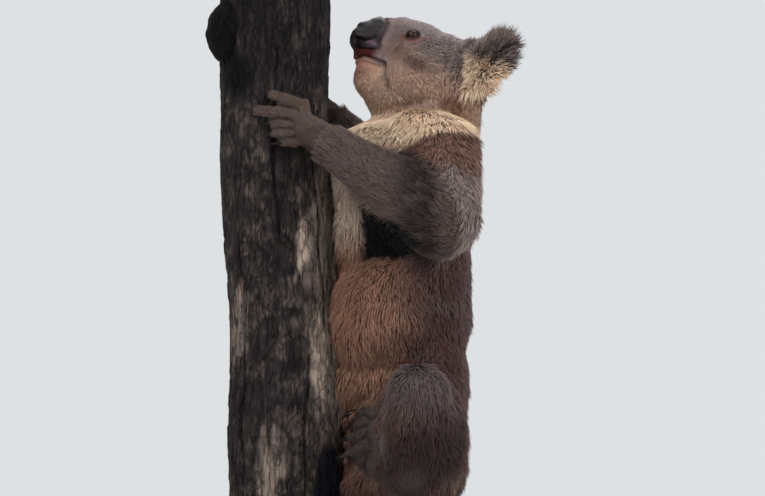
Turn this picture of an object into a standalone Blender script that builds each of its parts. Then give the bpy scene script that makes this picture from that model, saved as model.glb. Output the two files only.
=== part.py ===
"""A life-size koala hugging a cut length of tree trunk, which two rods hold over a flat display base.

Metres, +Z up.  The animal faces -X and its left side is towards -Y.  The origin is on the underside
of the base, under the middle of the trunk.  The solids reach out to the tips of the coat.
"""

import math

import bmesh
import bpy
from mathutils import Matrix, Vector

# ---------------------------------------------------------------------------------------------
# Driving dimensions
# ---------------------------------------------------------------------------------------------
GAP = 0.0003  # clearance between neighbouring pieces

BASE_LENGTH, BASE_WIDTH, BASE_THICK = 0.40, 0.30, 0.018
BASE_MIDDLE_X = 0.075  # the base reaches further back, under the animal's weight
BASE_CORNER, BASE_CHAMFER = 0.030, 0.0025
ROD_RADIUS, ROD_SPREAD, ROD_LENGTH = 0.008, 0.030, 0.055

LOG_BOTTOM = BASE_THICK + ROD_LENGTH
LOG_TOP = 0.700
LOG_RADIUS_BOTTOM, LOG_RADIUS_TOP = 0.0610, 0.0570
LOG_LEAN = -0.013  # how far the top of the trunk stands towards -X
LEAN_START, LEAN_RISE = 0.26, 0.34  # the height where the lean starts, and what it takes to lean over
LOG_RINGS, LOG_SIDES = 13, 22
BURL = ((-0.064, -0.014, 0.643), (0.024, 0.030, 0.034))  # centre and radii

HEAD_CENTRE = Vector((0.1580, 0.0, 0.6080))  # middle of the braincase
HEAD_PITCH = math.radians(30.0)  # nose lifted
HEAD_YAW = math.radians(9.0)  # nose turned towards the animal's left
EYE_RADIUS = 0.0078
EAR_RADIUS, EAR_THICK = 0.0370, 0.0120

LEFT, RIGHT = -1.0, 1.0  # the side's sign along Y

# Triangles that each kind of solid keeps
FACES = {"torso": 780, "head": 850, "limbs": 1950, "all": 3250, "nose": 110}
BODY_VOXEL, CORE_VOXEL, HEAD_VOXEL, NOSE_VOXEL = 0.0020, 0.0040, 0.0025, 0.0016

# Where the limbs bend: shoulder, elbow, wrist and hip, knee, ankle.  The right hand holds higher.
ARM_JOINTS = {
    "left": ((0.158, -0.056, 0.508), (0.1578, -0.112, 0.4368), (0.0448, -0.0830, 0.5142)),
    "right": ((0.154, 0.056, 0.512), (0.1506, 0.112, 0.4640), (0.0450, 0.0830, 0.5640)),
}
LEG_JOINTS = {
    "left": ((0.136, -0.050, 0.188), (0.1357, -0.106, 0.2578), (0.1229, -0.0900, 0.1882)),
    "right": ((0.136, 0.050, 0.186), (0.1337, 0.106, 0.2528), (0.1209, 0.0900, 0.1832)),
}
ARM_RADII = (0.046, 0.0440, 0.0350, 0.0265, 0.0228)  # shoulder, elbow, upper forearm, mid, wrist
LEG_RADII = (0.054, 0.0340, 0.0300, 0.0240)  # hip, knee, mid shin, ankle

# Palm and fingers as (degrees round the trunk from its side, height above the wrist)
PALM = (27.0, 0.0196)
FINGERS = (
    ("1", (26.0, 0.0415), (6.4, 0.0513), 0.0074),
    ("2", (15.4, 0.0328), (-7.1, 0.0380), 0.0076),
    ("3", (16.0, 0.0244), (4.3, 0.0253), 0.0070),
    ("4", (16.0, 0.0161), (5.2, 0.0160), 0.0070),
    ("5", (19.5, 0.0080), (12.2, 0.0086), 0.0068),
)
# Foot points from the ankle: ahead, inwards and up.  The second and third toes share one skin.
HEEL, SOLE, INSTEP = (-0.004, -0.002, -0.010), (0.011, 0.012, 0.015), (0.022, 0.024, 0.034)
TOES = (
    ("1", (0.038, 0.072, 0.010), 0.0090),
    ("2", (0.0360, 0.0420, 0.0580), 0.0068),
    ("3", (0.0340, 0.0415, 0.0475), 0.0068),
    ("4", (0.0395, 0.0425, 0.0340), 0.0082),
    ("5", (0.0457, 0.0440, 0.0165), 0.0082),
)
HULL_MARGIN = 1.16  # how far the corners of a hull stand outside the balls it goes round
HAND_CLAW, FOOT_CLAW, CLAW_RADIUS = 0.0200, 0.0270, 0.0030

# The rounded masses that the trunk of the body is built from: centre and radii
CORE = (
    ((0.121, 0.0, 0.486), (0.077, 0.077, 0.076)),  # chest
    ((0.096, 0.0, 0.428), (0.055, 0.052, 0.062)),  # breast, against the trunk
    ((0.119, 0.0, 0.346), (0.075, 0.093, 0.080)),  # belly
    ((0.127, 0.0, 0.264), (0.063, 0.071, 0.086)),  # loins
    ((0.150, 0.0, 0.274), (0.040, 0.090, 0.080)),  # small of the back
    ((0.100, 0.0, 0.270), (0.052, 0.048, 0.062)),  # groin, against the trunk
    ((0.114, 0.0, 0.190), (0.056, 0.062, 0.066)),  # rump
    ((0.139, 0.0, 0.385), (0.054, 0.084, 0.165)),  # back
    ((0.130, 0.0, 0.523), (0.074, 0.066, 0.036)),  # ruff under the jaw
)
SHOULDER = ((0.146, 0.046, 0.508), (0.054, 0.046, 0.052))
HAUNCH = ((0.147, 0.052, 0.212), (0.041, 0.054, 0.086))
# The head's masses in millimetres ahead of, above and to the left of its middle: centre, radii, tilt
HEAD = (
    ((-6, 0, 0), (50, 37, 56), 0.0),  # braincase
    ((24, 9, 0), (40, 26, 35), 0.0),  # forehead
    ((56, 3, 0), (34, 25, 20), -22.0),  # bridge
    ((59, -22, 0), (28, 22, 26), 0.0),  # muzzle
    ((50, -46, 0), (24, 22, 22), 18.0),  # chin
    ((24, -51, 0), (34, 28, 40), 0.0),  # throat
)
CHEEK = ((10, -20, 27), (41, 38, 34))
JOWL = ((-14, -24, 34), (32, 31, 30))
BROW = ((37, 13, 19), (18, 11, 14))
EYE = (40.0, 8.5, 29.0)
EAR = (-35.0, 16.0, 75.0)
EAR_FACING = (0.86, 0.10, 0.50)  # ahead, up, out
EAR_HOLLOW_SHARE, EAR_HOLLOW_DEEP, EAR_HOLLOW_BACK = 0.70, 0.010, 0.0035
EAR_ROOTS = ((-21, 7, 42, 0.028), (-33, 9, 62, 0.026))  # place, and the radius there
EAR_CUT, EAR_CUT_FACING = (-26, 12, 52), (-0.25, 0.20, 0.95)
FRINGE = ((-41, -10, 68), (15, 31, 20))
NOSE = (
    ((80, -15, 0), (15.5, 13.5, 15.5), 0.0),  # the broad pad at the nostrils
    ((81, -3, 0), (13.5, 12.5, 12.5), 20.0),  # the narrow pad above them
)
NAPE = (((0.152, 0.0, 0.520), 0.050), ((0.164, 0.0, 0.580), 0.044))
# Where the torso ends and the head starts: a point and the way up the neck
NECK_PLANES = (
    (Vector((0.150, 0.0, 0.537)), Vector((0.0, 0.0, 1.0))),
    (Vector((0.140, 0.0, 0.5625)), Vector((-0.153, 0.0, 0.988))),
)

COLOURS = {
    "fur_grey": (0.17, 0.145, 0.135, 1.0),
    "nose_leather": (0.020, 0.014, 0.016, 1.0),
    "eye": (0.035, 0.012, 0.006, 1.0),
    "claw": (0.020, 0.015, 0.013, 1.0),
    "bark": (0.060, 0.048, 0.045, 1.0),
    "stand_black": (0.025, 0.025, 0.027, 1.0),
    "stand_steel": (0.50, 0.50, 0.50, 1.0),
}


# ---------------------------------------------------------------------------------------------
# Scene helpers
# ---------------------------------------------------------------------------------------------
def clear_scene():
    for obj in list(bpy.data.objects):
        bpy.data.objects.remove(obj)


def new_collection(name):
    collection = bpy.data.collections.new(name)
    bpy.context.scene.collection.children.link(collection)
    return collection


def material(name):
    """The Principled material of this name, with its colour from COLOURS."""
    found = bpy.data.materials.get(name)
    if found:
        return found
    made = bpy.data.materials.new(name)
    made.use_nodes = True
    surface = made.node_tree.nodes["Principled BSDF"]
    surface.inputs["Base Color"].default_value = COLOURS[name]
    glossy = {"eye": 0.08, "nose_leather": 0.45, "claw": 0.30, "stand_steel": 0.30}
    surface.inputs["Roughness"].default_value = glossy.get(name, 0.85)
    surface.inputs["Metallic"].default_value = 1.0 if name == "stand_steel" else 0.0
    return made


def object_of(bm, name="piece"):
    """A mesh object that takes over this bmesh, with its faces pointing out."""
    bmesh.ops.recalc_face_normals(bm, faces=bm.faces)
    mesh = bpy.data.meshes.new(name)
    bm.to_mesh(mesh)
    bm.free()
    obj = bpy.data.objects.new(name, mesh)
    bpy.context.scene.collection.objects.link(obj)
    return obj


def frozen(obj):
    """The object with its modifiers turned into plain mesh."""
    graph = bpy.context.evaluated_depsgraph_get()
    mesh = bpy.data.meshes.new_from_object(obj.evaluated_get(graph))
    obj.modifiers.clear()
    obj.data = mesh
    return obj


def copy_of(obj):
    twin = obj.copy()
    twin.data = obj.data.copy()
    bpy.context.scene.collection.objects.link(twin)
    return twin


def turned(axis_z, axis_x):
    """The rotation that carries Z to axis_z, and X as near as it can to axis_x."""
    z = Vector(axis_z).normalized()
    y = z.cross(Vector(axis_x)).normalized()
    return Matrix((y.cross(z), y, z)).transposed().to_4x4()


# ---------------------------------------------------------------------------------------------
# Shapes
# ---------------------------------------------------------------------------------------------
def ball(centre, radii, turn=None, segments=24):
    """An ellipsoid of these radii."""
    bm = bmesh.new()
    place = Matrix.Translation(Vector(centre)) @ (turn or Matrix())
    place = place @ Matrix.Diagonal((*radii, 1.0))
    bmesh.ops.create_uvsphere(
        bm, u_segments=segments, v_segments=segments // 2, radius=1.0, matrix=place
    )
    return object_of(bm)


def tube(stations, sides_level=3, steps=6):
    """A tapered tube through (point, radius) stations, as a list with a ball at each end."""
    data = bpy.data.curves.new("tube", "CURVE")
    data.dimensions = "3D"
    data.bevel_depth = 1.0
    data.bevel_resolution = sides_level
    data.resolution_u = steps
    data.use_fill_caps = True
    spline = data.splines.new("BEZIER")
    spline.bezier_points.add(len(stations) - 1)
    for point, (where, radius) in zip(spline.bezier_points, stations):
        point.co = where
        point.radius = radius
        point.handle_left_type = point.handle_right_type = "AUTO"
    curve = bpy.data.objects.new("tube", data)
    bpy.context.scene.collection.objects.link(curve)
    graph = bpy.context.evaluated_depsgraph_get()
    mesh = bpy.data.meshes.new_from_object(curve.evaluated_get(graph))
    bpy.data.objects.remove(curve)
    bm = bmesh.new()
    bm.from_mesh(mesh)
    bmesh.ops.remove_doubles(bm, verts=bm.verts, dist=1e-5)
    return object_of(bm)


def limb(stations):
    """A tube with round ends, as separate meshes that fuse() joins."""
    ends = [ball(where, (radius,) * 3, segments=16) for where, radius in (stations[0], stations[-1])]
    return [tube(stations), *ends]


def fuse(name, pieces, voxel, smoothing, swell=0.0):
    """One closed, smoothed skin round all the pieces."""
    bm = bmesh.new()
    for piece in pieces:
        bm.from_mesh(piece.data)
        bpy.data.objects.remove(piece)
    body = object_of(bm, name)
    remesh = body.modifiers.new("Remesh", "REMESH")
    remesh.mode = "VOXEL"
    remesh.voxel_size = voxel
    smooth = body.modifiers.new("Smooth", "SMOOTH")
    smooth.iterations = smoothing
    smooth.factor = 0.5
    push = body.modifiers.new("Swell", "DISPLACE")
    push.strength = swell
    push.mid_level = 0.0
    return frozen(body)


def thin(obj, faces, belongs=lambda point: True):
    """Brings the region of the piece that belongs() tells down to about this many triangles."""
    mesh = obj.data
    mesh.calc_loop_triangles()
    chosen = [vert.index for vert in mesh.vertices if belongs(vert.co)]
    inside = set(chosen)
    region = sum(all(index in inside for index in tri.vertices) for tri in mesh.loop_triangles)
    group = obj.vertex_groups.new(name="region")
    group.add(chosen, 1.0, "REPLACE")
    collapse = obj.modifiers.new("Decimate", "DECIMATE")
    collapse.vertex_group = group.name
    collapse.ratio = 1.0 - max(0, region - faces) / len(mesh.loop_triangles)
    frozen(obj)
    obj.vertex_groups.clear()
    return obj


# ---------------------------------------------------------------------------------------------
# Cutting
# ---------------------------------------------------------------------------------------------
def cutter_of(obj, cutters, grow=GAP):
    """A copy of the piece, grown by the gap, kept out of the render."""
    cutter = copy_of(obj)
    cutter.name = f"cutter_{obj.name}"
    push = cutter.modifiers.new("Gap", "DISPLACE")
    push.strength = grow
    push.mid_level = 0.0
    frozen(cutter)
    bpy.context.scene.collection.objects.unlink(cutter)
    cutters.objects.link(cutter)
    cutter.hide_render = True
    cutter.display_type = "WIRE"
    return cutter


def carve(obj, *cutters):
    """Takes each cutter's space out of the piece and keeps the largest part of what is left."""
    for cutter in cutters:
        cut = obj.modifiers.new("Cut", "BOOLEAN")
        cut.operation = "DIFFERENCE"
        cut.object = cutter
    return keep_largest(frozen(obj))


def keep_largest(obj):
    """Drops the crumbs that a cut leaves beside the main body."""
    bm = bmesh.new()
    bm.from_mesh(obj.data)
    bmesh.ops.remove_doubles(bm, verts=bm.verts, dist=1e-6)
    left, islands = set(bm.verts), []
    while left:
        island, edge_of = set(), [left.pop()]
        while edge_of:
            vert = edge_of.pop()
            island.add(vert)
            near = {edge.other_vert(vert) for edge in vert.link_edges} & left
            left -= near
            edge_of.extend(near)
        islands.append(island)
    largest = max(islands, key=len)
    crumbs = [vert for island in islands if island is not largest for vert in island]
    bmesh.ops.delete(bm, geom=crumbs, context="VERTS")
    bm.to_mesh(obj.data)
    bm.free()
    return obj


def part_beyond(obj, name, point, normal):
    """A copy of what lies beyond the plane, half a gap clear of it, closed with a flat face."""
    piece = copy_of(obj)
    piece.name = name
    normal = Vector(normal).normalized()
    bm = bmesh.new()
    bm.from_mesh(piece.data)
    cut = bmesh.ops.bisect_plane(
        bm,
        geom=[*bm.verts, *bm.edges, *bm.faces],
        dist=1e-7,
        plane_co=Vector(point) + normal * GAP / 2,
        plane_no=normal,
        clear_inner=True,
    )
    rim = [item for item in cut["geom_cut"] if isinstance(item, bmesh.types.BMEdge)]
    bmesh.ops.holes_fill(bm, edges=rim, sides=0)
    bmesh.ops.triangulate(bm, faces=bm.faces)
    bmesh.ops.recalc_face_normals(bm, faces=bm.faces)
    bm.to_mesh(piece.data)
    bm.free()
    return keep_largest(piece)


def split(obj, names, planes):
    """Parts a piece at the planes, (point, normal) in order along it, into pieces of these names."""
    pieces = []
    for name, (point, normal) in zip(names, planes):
        pieces.append(part_beyond(obj, name, point, -Vector(normal)))
        beyond = part_beyond(obj, "rest", point, normal)
        bpy.data.objects.remove(obj)
        obj = beyond
    obj.name = names[-1]
    return [*pieces, obj]


def hull(*balls):
    """The convex hull round balls, given as (centre, radius)."""
    bm = bmesh.new()
    for centre, radius in balls:
        place = Matrix.Translation(Vector(centre))
        bmesh.ops.create_icosphere(bm, subdivisions=1, radius=radius * HULL_MARGIN, matrix=place)
    made = bmesh.ops.convex_hull(bm, input=bm.verts)
    inside = [item for item in made["geom_interior"] if isinstance(item, bmesh.types.BMVert)]
    bmesh.ops.delete(bm, geom=inside, context="VERTS")
    faces = set(made["geom"]) & set(bm.faces)
    bmesh.ops.delete(bm, geom=[face for face in bm.faces if face not in faces], context="FACES_ONLY")
    return object_of(bm, "hull")


def joined(first, *others):
    """The union of the solids, as one."""
    for other in others:
        union = first.modifiers.new("Join", "BOOLEAN")
        union.operation = "UNION"
        union.object = other
    frozen(first)
    for other in others:
        bpy.data.objects.remove(other)
    return first


def take(body, name, region, cutters):
    """Parts what lies inside the region from the body, with a thin cut between the two."""
    piece = copy_of(body)
    piece.name = name
    region.name = name
    inside = cutter_of(region, cutters, grow=0.0)
    common = piece.modifiers.new("Region", "BOOLEAN")
    common.operation = "INTERSECT"
    common.object = inside
    keep_largest(frozen(piece))
    carve(body, cutter_of(region, cutters))
    bpy.data.objects.remove(region)
    return piece


# ---------------------------------------------------------------------------------------------
# The perch and the stand
# ---------------------------------------------------------------------------------------------
def log_axis(height):
    """The trunk's middle at this height: it leans a little in its upper part."""
    share = min(1.0, max(0.0, (height - LEAN_START) / LEAN_RISE))
    return Vector((LOG_LEAN * share * share * (3.0 - 2.0 * share), 0.0, height))


def log_radius(angle, height):
    """The trunk tapers, and is fluted and lumpy by a few millimetres."""
    share = (height - LOG_BOTTOM) / (LOG_TOP - LOG_BOTTOM)
    plain = LOG_RADIUS_BOTTOM + (LOG_RADIUS_TOP - LOG_RADIUS_BOTTOM) * share
    flutes = 0.0011 * math.sin(3.0 * angle + 9.0 * height)
    flutes += 0.0008 * math.sin(5.0 * angle - 14.0 * height)
    return plain + flutes + 0.0008 * math.sin(31.0 * height)


def on_log(degrees, height, proud, side):
    """A point this far proud of the trunk. 0 degrees is straight out at the side, 90 at its back."""
    angle = math.radians(degrees)
    radius = LOG_RADIUS_BOTTOM + (LOG_RADIUS_TOP - LOG_RADIUS_BOTTOM) * 0.6 + proud
    return log_axis(height) + Vector((radius * math.sin(angle), side * radius * math.cos(angle), 0.0))


def make_log():
    """A loft of rings, with the burl near its top fused on."""
    bm = bmesh.new()
    loops = []
    for ring in range(LOG_RINGS):
        height = LOG_BOTTOM + (LOG_TOP - LOG_BOTTOM) * ring / (LOG_RINGS - 1)
        middle = log_axis(height)
        loop = []
        for side in range(LOG_SIDES):
            angle = 2.0 * math.pi * side / LOG_SIDES
            out = Vector((math.cos(angle), math.sin(angle), 0.0)) * log_radius(angle, height)
            loop.append(bm.verts.new(middle + out))
        loops.append(loop)
    for lower, upper in zip(loops, loops[1:]):
        for side in range(LOG_SIDES):
            after = (side + 1) % LOG_SIDES
            bm.faces.new((lower[side], lower[after], upper[after], upper[side]))
    bm.faces.new(reversed(loops[0]))
    bm.faces.new(loops[-1])
    bmesh.ops.triangulate(bm, faces=bm.faces)
    loft = object_of(bm, "perch_log")
    return keep_largest(joined(loft, ball(*BURL, segments=16)))


def make_stand():
    """The flat base, with rounded corners and a chamfered edge, and two upright rods."""
    bpy.ops.mesh.primitive_cube_add(size=1.0)
    base = bpy.context.active_object
    base.name = "stand_base"
    base.data.transform(Matrix.Diagonal((BASE_LENGTH, BASE_WIDTH, BASE_THICK, 1.0)))
    base.data.transform(Matrix.Translation((BASE_MIDDLE_X, 0.0, BASE_THICK / 2)))
    bm = bmesh.new()
    bm.from_mesh(base.data)
    upright = [e for e in bm.edges if abs(e.verts[0].co.z - e.verts[1].co.z) > BASE_THICK / 2]
    bmesh.ops.bevel(bm, geom=upright, offset=BASE_CORNER, segments=4, affect="EDGES", profile=0.5)
    top = [e for e in bm.edges if all(v.co.z > BASE_THICK - 1e-5 for v in e.verts)]
    bmesh.ops.bevel(bm, geom=top, offset=BASE_CHAMFER, segments=1, affect="EDGES", profile=0.5)
    bm.to_mesh(base.data)
    bm.free()
    rods = []
    for number, side in ((1, -1.0), (2, 1.0)):
        bpy.ops.mesh.primitive_cylinder_add(
            vertices=16,
            radius=ROD_RADIUS,
            depth=ROD_LENGTH - 2 * GAP,
            location=(side * ROD_SPREAD, 0.0, BASE_THICK + ROD_LENGTH / 2),
        )
        rod = bpy.context.active_object
        rod.name = f"stand_rod_{number}"
        rods.append(rod)
    return base, rods


# ---------------------------------------------------------------------------------------------
# Head
# ---------------------------------------------------------------------------------------------
def head_axes():
    """The head's forward, up and left directions."""
    forward = Vector(
        (
            -math.cos(HEAD_YAW) * math.cos(HEAD_PITCH),
            -math.sin(HEAD_YAW) * math.cos(HEAD_PITCH),
            math.sin(HEAD_PITCH),
        )
    )
    left = Vector((math.sin(HEAD_YAW), -math.cos(HEAD_YAW), 0.0))
    return forward, forward.cross(left).normalized(), left


def in_head(forward, up, left):
    """A point given in millimetres ahead of, above and to the left of the middle of the braincase."""
    along, above, beside = head_axes()
    return HEAD_CENTRE + (along * forward + above * up + beside * left) / 1000.0


def head_ball(centre, radii, tilt=0.0, segments=24):
    """An ellipsoid in the head's own directions, its nose end tipped up by tilt degrees."""
    along, above, beside = head_axes()
    turn = Matrix((along, above, beside)).transposed().to_4x4()
    turn = turn @ Matrix.Rotation(math.radians(tilt), 4, "Z")
    return ball(in_head(*centre), [r / 1000.0 for r in radii], turn, segments)


def head_masses():
    """Braincase, forehead, Roman bridge, deep muzzle, chin, full cheeks and throat."""
    masses = [head_ball(centre, radii, tilt) for centre, radii, tilt in HEAD]
    for side in (-1.0, 1.0):
        for (ahead, up, beside), radii in (CHEEK, JOWL, BROW):
            masses.append(head_ball((ahead, up, side * beside), radii))
    return masses


def make_nose():
    """The leathery pad that wraps the front of the muzzle, narrow above and broad at the nostrils."""
    masses = [head_ball(centre, radii, tilt) for centre, radii, tilt in NOSE]
    return thin(fuse("nose", masses, NOSE_VOXEL, 5, swell=0.0005), FACES["nose"])


def make_eyes():
    eyes = []
    for name, side in (("eye_left", 1.0), ("eye_right", -1.0)):
        eye = ball(in_head(EYE[0], EYE[1], side * EYE[2]), (EYE_RADIUS,) * 3, segments=10)
        eye.name = name
        eyes.append(eye)
    return eyes


def ear_masses(side):
    """A round dish that faces forward and out, hollow in front, with a root and a hanging fringe."""
    along, above, beside = head_axes()
    ahead, up, out = EAR_FACING
    facing = (along * ahead + above * up + beside * side * out).normalized()
    turn = turned(facing, above)
    centre = in_head(EAR[0], EAR[1], side * EAR[2])
    dish = ball(centre, (EAR_RADIUS, EAR_RADIUS, EAR_THICK), turn)
    across = EAR_RADIUS * EAR_HOLLOW_SHARE
    hollow_centre = centre + facing * (EAR_THICK + EAR_HOLLOW_BACK)
    hollow = ball(hollow_centre, (across, across, EAR_HOLLOW_DEEP), turn, 16)
    carve(dish, hollow)
    bpy.data.objects.remove(hollow)
    root = limb([(in_head(x, y, side * z), radius) for x, y, z, radius in EAR_ROOTS])
    (ahead, up, out), radii = FRINGE
    return [dish, head_ball((ahead, up, side * out), radii), *root]


def ear_plane(side):
    """Where the ear's root leaves the head."""
    along, above, beside = head_axes()
    point = in_head(EAR_CUT[0], EAR_CUT[1], side * EAR_CUT[2])
    ahead, up, out = EAR_CUT_FACING
    return point, along * ahead + above * up + beside * side * out


# ---------------------------------------------------------------------------------------------
# Torso and neck
# ---------------------------------------------------------------------------------------------
def core_masses():
    """A deep chest, a full belly that folds under it, and a narrow rump tucked towards the trunk."""
    masses = [ball(centre, radii) for centre, radii in CORE]
    for side in (LEFT, RIGHT):
        for (x, y, z), radii in (SHOULDER, HAUNCH):
            masses.append(ball((x, side * y, z), radii))
    return masses + limb(NAPE)


def in_torso(point):
    """Whether the point is on the broad, plain part of the body."""
    near = 1.16
    return any(
        sum(((point[axis] - centre[axis]) / radii[axis]) ** 2 for axis in range(3)) < near * near
        for centre, radii in CORE[:-1]
    )


def on_head(point):
    """Whether the point is on the head, short of its ears."""
    middle, upward = NECK_PLANES[1]
    return (point - middle).dot(upward) > 0.0 and abs(point.y) < 0.075


# ---------------------------------------------------------------------------------------------
# Limbs
# ---------------------------------------------------------------------------------------------
def between(start, end, share, lift=(0.0, 0.0, 0.0)):
    return Vector(start).lerp(Vector(end), share) + Vector(lift)


def fold_plane(before, joint, after):
    """The plane that halves the fold of a bent joint, facing down the limb."""
    arriving = (Vector(joint) - Vector(before)).normalized()
    leaving = (Vector(after) - Vector(joint)).normalized()
    return Vector(joint), (arriving + leaving).normalized()


def finger_path(finger, wrist_height, side):
    """Knuckle, middle joint and tip of one finger, lying on the bark."""
    _, knuckle, tip, _ = finger
    middle = (knuckle[0] * 0.42 + tip[0] * 0.58, knuckle[1] * 0.42 + tip[1] * 0.58)
    spots = zip((knuckle, middle, tip), (0.0120, 0.0118, 0.0078))
    return [on_log(spot[0], wrist_height + spot[1], proud, side) for spot, proud in spots]


def palm_middle(wrist, side):
    return on_log(PALM[0], wrist.z + PALM[1], 0.0165, side)


def arm_masses(where, side):
    """Upper arm, forearm, and a hand whose first two fingers stand against the other three."""
    shoulder, elbow, wrist = (Vector(joint) for joint in ARM_JOINTS[where])
    r_shoulder, r_elbow, r_fore, r_mid, r_wrist = ARM_RADII
    masses = limb([(shoulder, r_shoulder), (elbow, r_elbow)])
    masses += limb(
        [
            (elbow, r_elbow),
            (between(elbow, wrist, 0.40), r_fore),
            (between(elbow, wrist, 0.75), r_mid),
            (wrist, r_wrist),
        ]
    )
    palm = palm_middle(wrist, side)
    masses += limb([(wrist, r_wrist), (palm, 0.0190)])
    for finger in FINGERS:
        knuckle, middle, tip = finger_path(finger, wrist.z, side)
        radius = finger[3]
        root = between(palm, knuckle, 0.30)
        radii = (radius + 0.0014, radius + 0.0006, radius, radius - 0.0008)
        masses += limb(list(zip((root, knuckle, middle, tip), radii)))
    return masses


def arm_region(where, side):
    """Three hulls that take in the whole arm."""
    shoulder, elbow, wrist = (Vector(joint) for joint in ARM_JOINTS[where])
    armpit = between(shoulder, elbow, 0.50, (0.0, side * 0.004, -0.008))
    palm = palm_middle(wrist, side)
    tips = [(finger_path(finger, wrist.z, side)[2], 0.0125) for finger in FINGERS]
    upper = hull((armpit, 0.045), (elbow, 0.053))
    fore = hull((elbow, 0.053), (wrist, 0.0290))
    hand = hull((wrist, 0.0285), (palm, 0.0260), *tips)
    return joined(upper, fore, hand)


def arm_planes(where, side):
    shoulder, elbow, wrist = (Vector(joint) for joint in ARM_JOINTS[where])
    palm = palm_middle(wrist, side)
    return fold_plane(shoulder, elbow, wrist), fold_plane(elbow, wrist, palm)


def from_ankle(where, side, offset):
    """A foot point given as ahead, inwards and up from the ankle."""
    ahead, inwards, up = offset
    return Vector(LEG_JOINTS[where][2]) + Vector((-ahead, -side * inwards, up))


def leg_masses(where, side):
    """Thigh, shin and a broad gripping foot with a thumb-like first toe."""
    hip, knee, ankle = (Vector(joint) for joint in LEG_JOINTS[where])
    r_hip, r_knee, r_shin, r_ankle = LEG_RADII
    heel, sole, instep = (from_ankle(where, side, spot) for spot in (HEEL, SOLE, INSTEP))
    thigh_middle = between(hip, knee, 0.55, (0.0, side * 0.006, 0.0))
    shin_middle = between(knee, ankle, 0.5, (-0.003, side * 0.004, 0.0))
    masses = limb([(hip, r_hip), (thigh_middle, 0.0440), (knee, r_knee)])
    masses += limb([(knee, r_knee), (shin_middle, r_shin), (ankle, r_ankle)])
    masses += limb([(heel, 0.0190), (sole, 0.0205), (instep, 0.0170)])
    for number, offset, radius in TOES:
        tip = from_ankle(where, side, offset)
        root = sole if number == "1" else instep
        middle = between(root, tip, 0.55, (0.002, side * 0.0035, 0.001))
        masses += limb([(root, radius + 0.002), (middle, radius + 0.0008), (tip, radius - 0.0006)])
    return masses


def leg_region(where, side):
    """A hull that takes in thigh and shin."""
    hip, knee, ankle = (Vector(joint) for joint in LEG_JOINTS[where])
    groin = between(hip, knee, 0.38, (0.002, side * 0.004, -0.002))
    return hull((groin, 0.052), (knee, 0.0400), (ankle, 0.0300))


def foot_region(where, side):
    foot = [(from_ankle(where, side, spot), 0.0225) for spot in (HEEL, SOLE, INSTEP)]
    toes = [(from_ankle(where, side, offset), radius + 0.0030) for _, offset, radius in TOES]
    return hull(*foot, *toes)


def claw(name, root, ahead, inward, reach):
    """A hooked claw: it leaves the digit, arches, and turns in to the bark."""
    ahead = Vector(ahead).normalized() * reach
    inward = Vector(inward).normalized() * reach
    stations = [
        (root, CLAW_RADIUS),
        (root + ahead * 0.50, CLAW_RADIUS * 0.92),
        (root + ahead * 0.85 + inward * 0.16, CLAW_RADIUS * 0.62),
        (root + ahead + inward * 0.45, CLAW_RADIUS * 0.16),
    ]
    hook = tube(stations, sides_level=1, steps=1)
    hook.name = name
    return hook


def hand_claws(where, side):
    height = ARM_JOINTS[where][2][2]
    claws = []
    for finger in FINGERS:
        _, middle, tip = finger_path(finger, height, side)
        inward = (log_axis(tip.z) - tip).normalized()
        ahead = tip - middle
        ahead -= inward * ahead.dot(inward) * 0.8
        claws.append(claw(f"claw_hand_{where}_{finger[0]}", tip, ahead, inward, HAND_CLAW))
    return claws


def foot_claws(where, side):
    """The first toe is a clawless thumb, so the claws start at the second."""
    instep = from_ankle(where, side, INSTEP)
    claws = []
    for number, offset, _ in TOES[1:]:
        tip = from_ankle(where, side, offset)
        inward = (log_axis(tip.z) - tip).normalized()
        ahead = (tip - instep).normalized() * 0.45 + inward
        hook = inward * 0.3 - Vector((0.0, 0.0, 0.5))
        claws.append(claw(f"claw_foot_{where}_{number}", tip, ahead, hook, FOOT_CLAW))
    return claws


# ---------------------------------------------------------------------------------------------
# Assembly
# ---------------------------------------------------------------------------------------------
def make_body():
    """The whole animal in one closed skin, out to the tips of its coat."""
    masses = [
        fuse("core", core_masses(), CORE_VOXEL, 10, swell=0.0020),
        fuse("head", head_masses(), HEAD_VOXEL, 8, swell=0.0012),
    ]
    for where, side in (("left", LEFT), ("right", RIGHT)):
        masses += ear_masses(-side)
        masses += arm_masses(where, side)
        masses += leg_masses(where, side)
    body = fuse("body", masses, BODY_VOXEL, 5, swell=0.0006)
    thin(body, FACES["torso"], in_torso)
    thin(body, FACES["head"], on_head)
    thin(body, FACES["limbs"], lambda point: not in_torso(point) and not on_head(point))
    return thin(body, FACES["all"])


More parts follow.
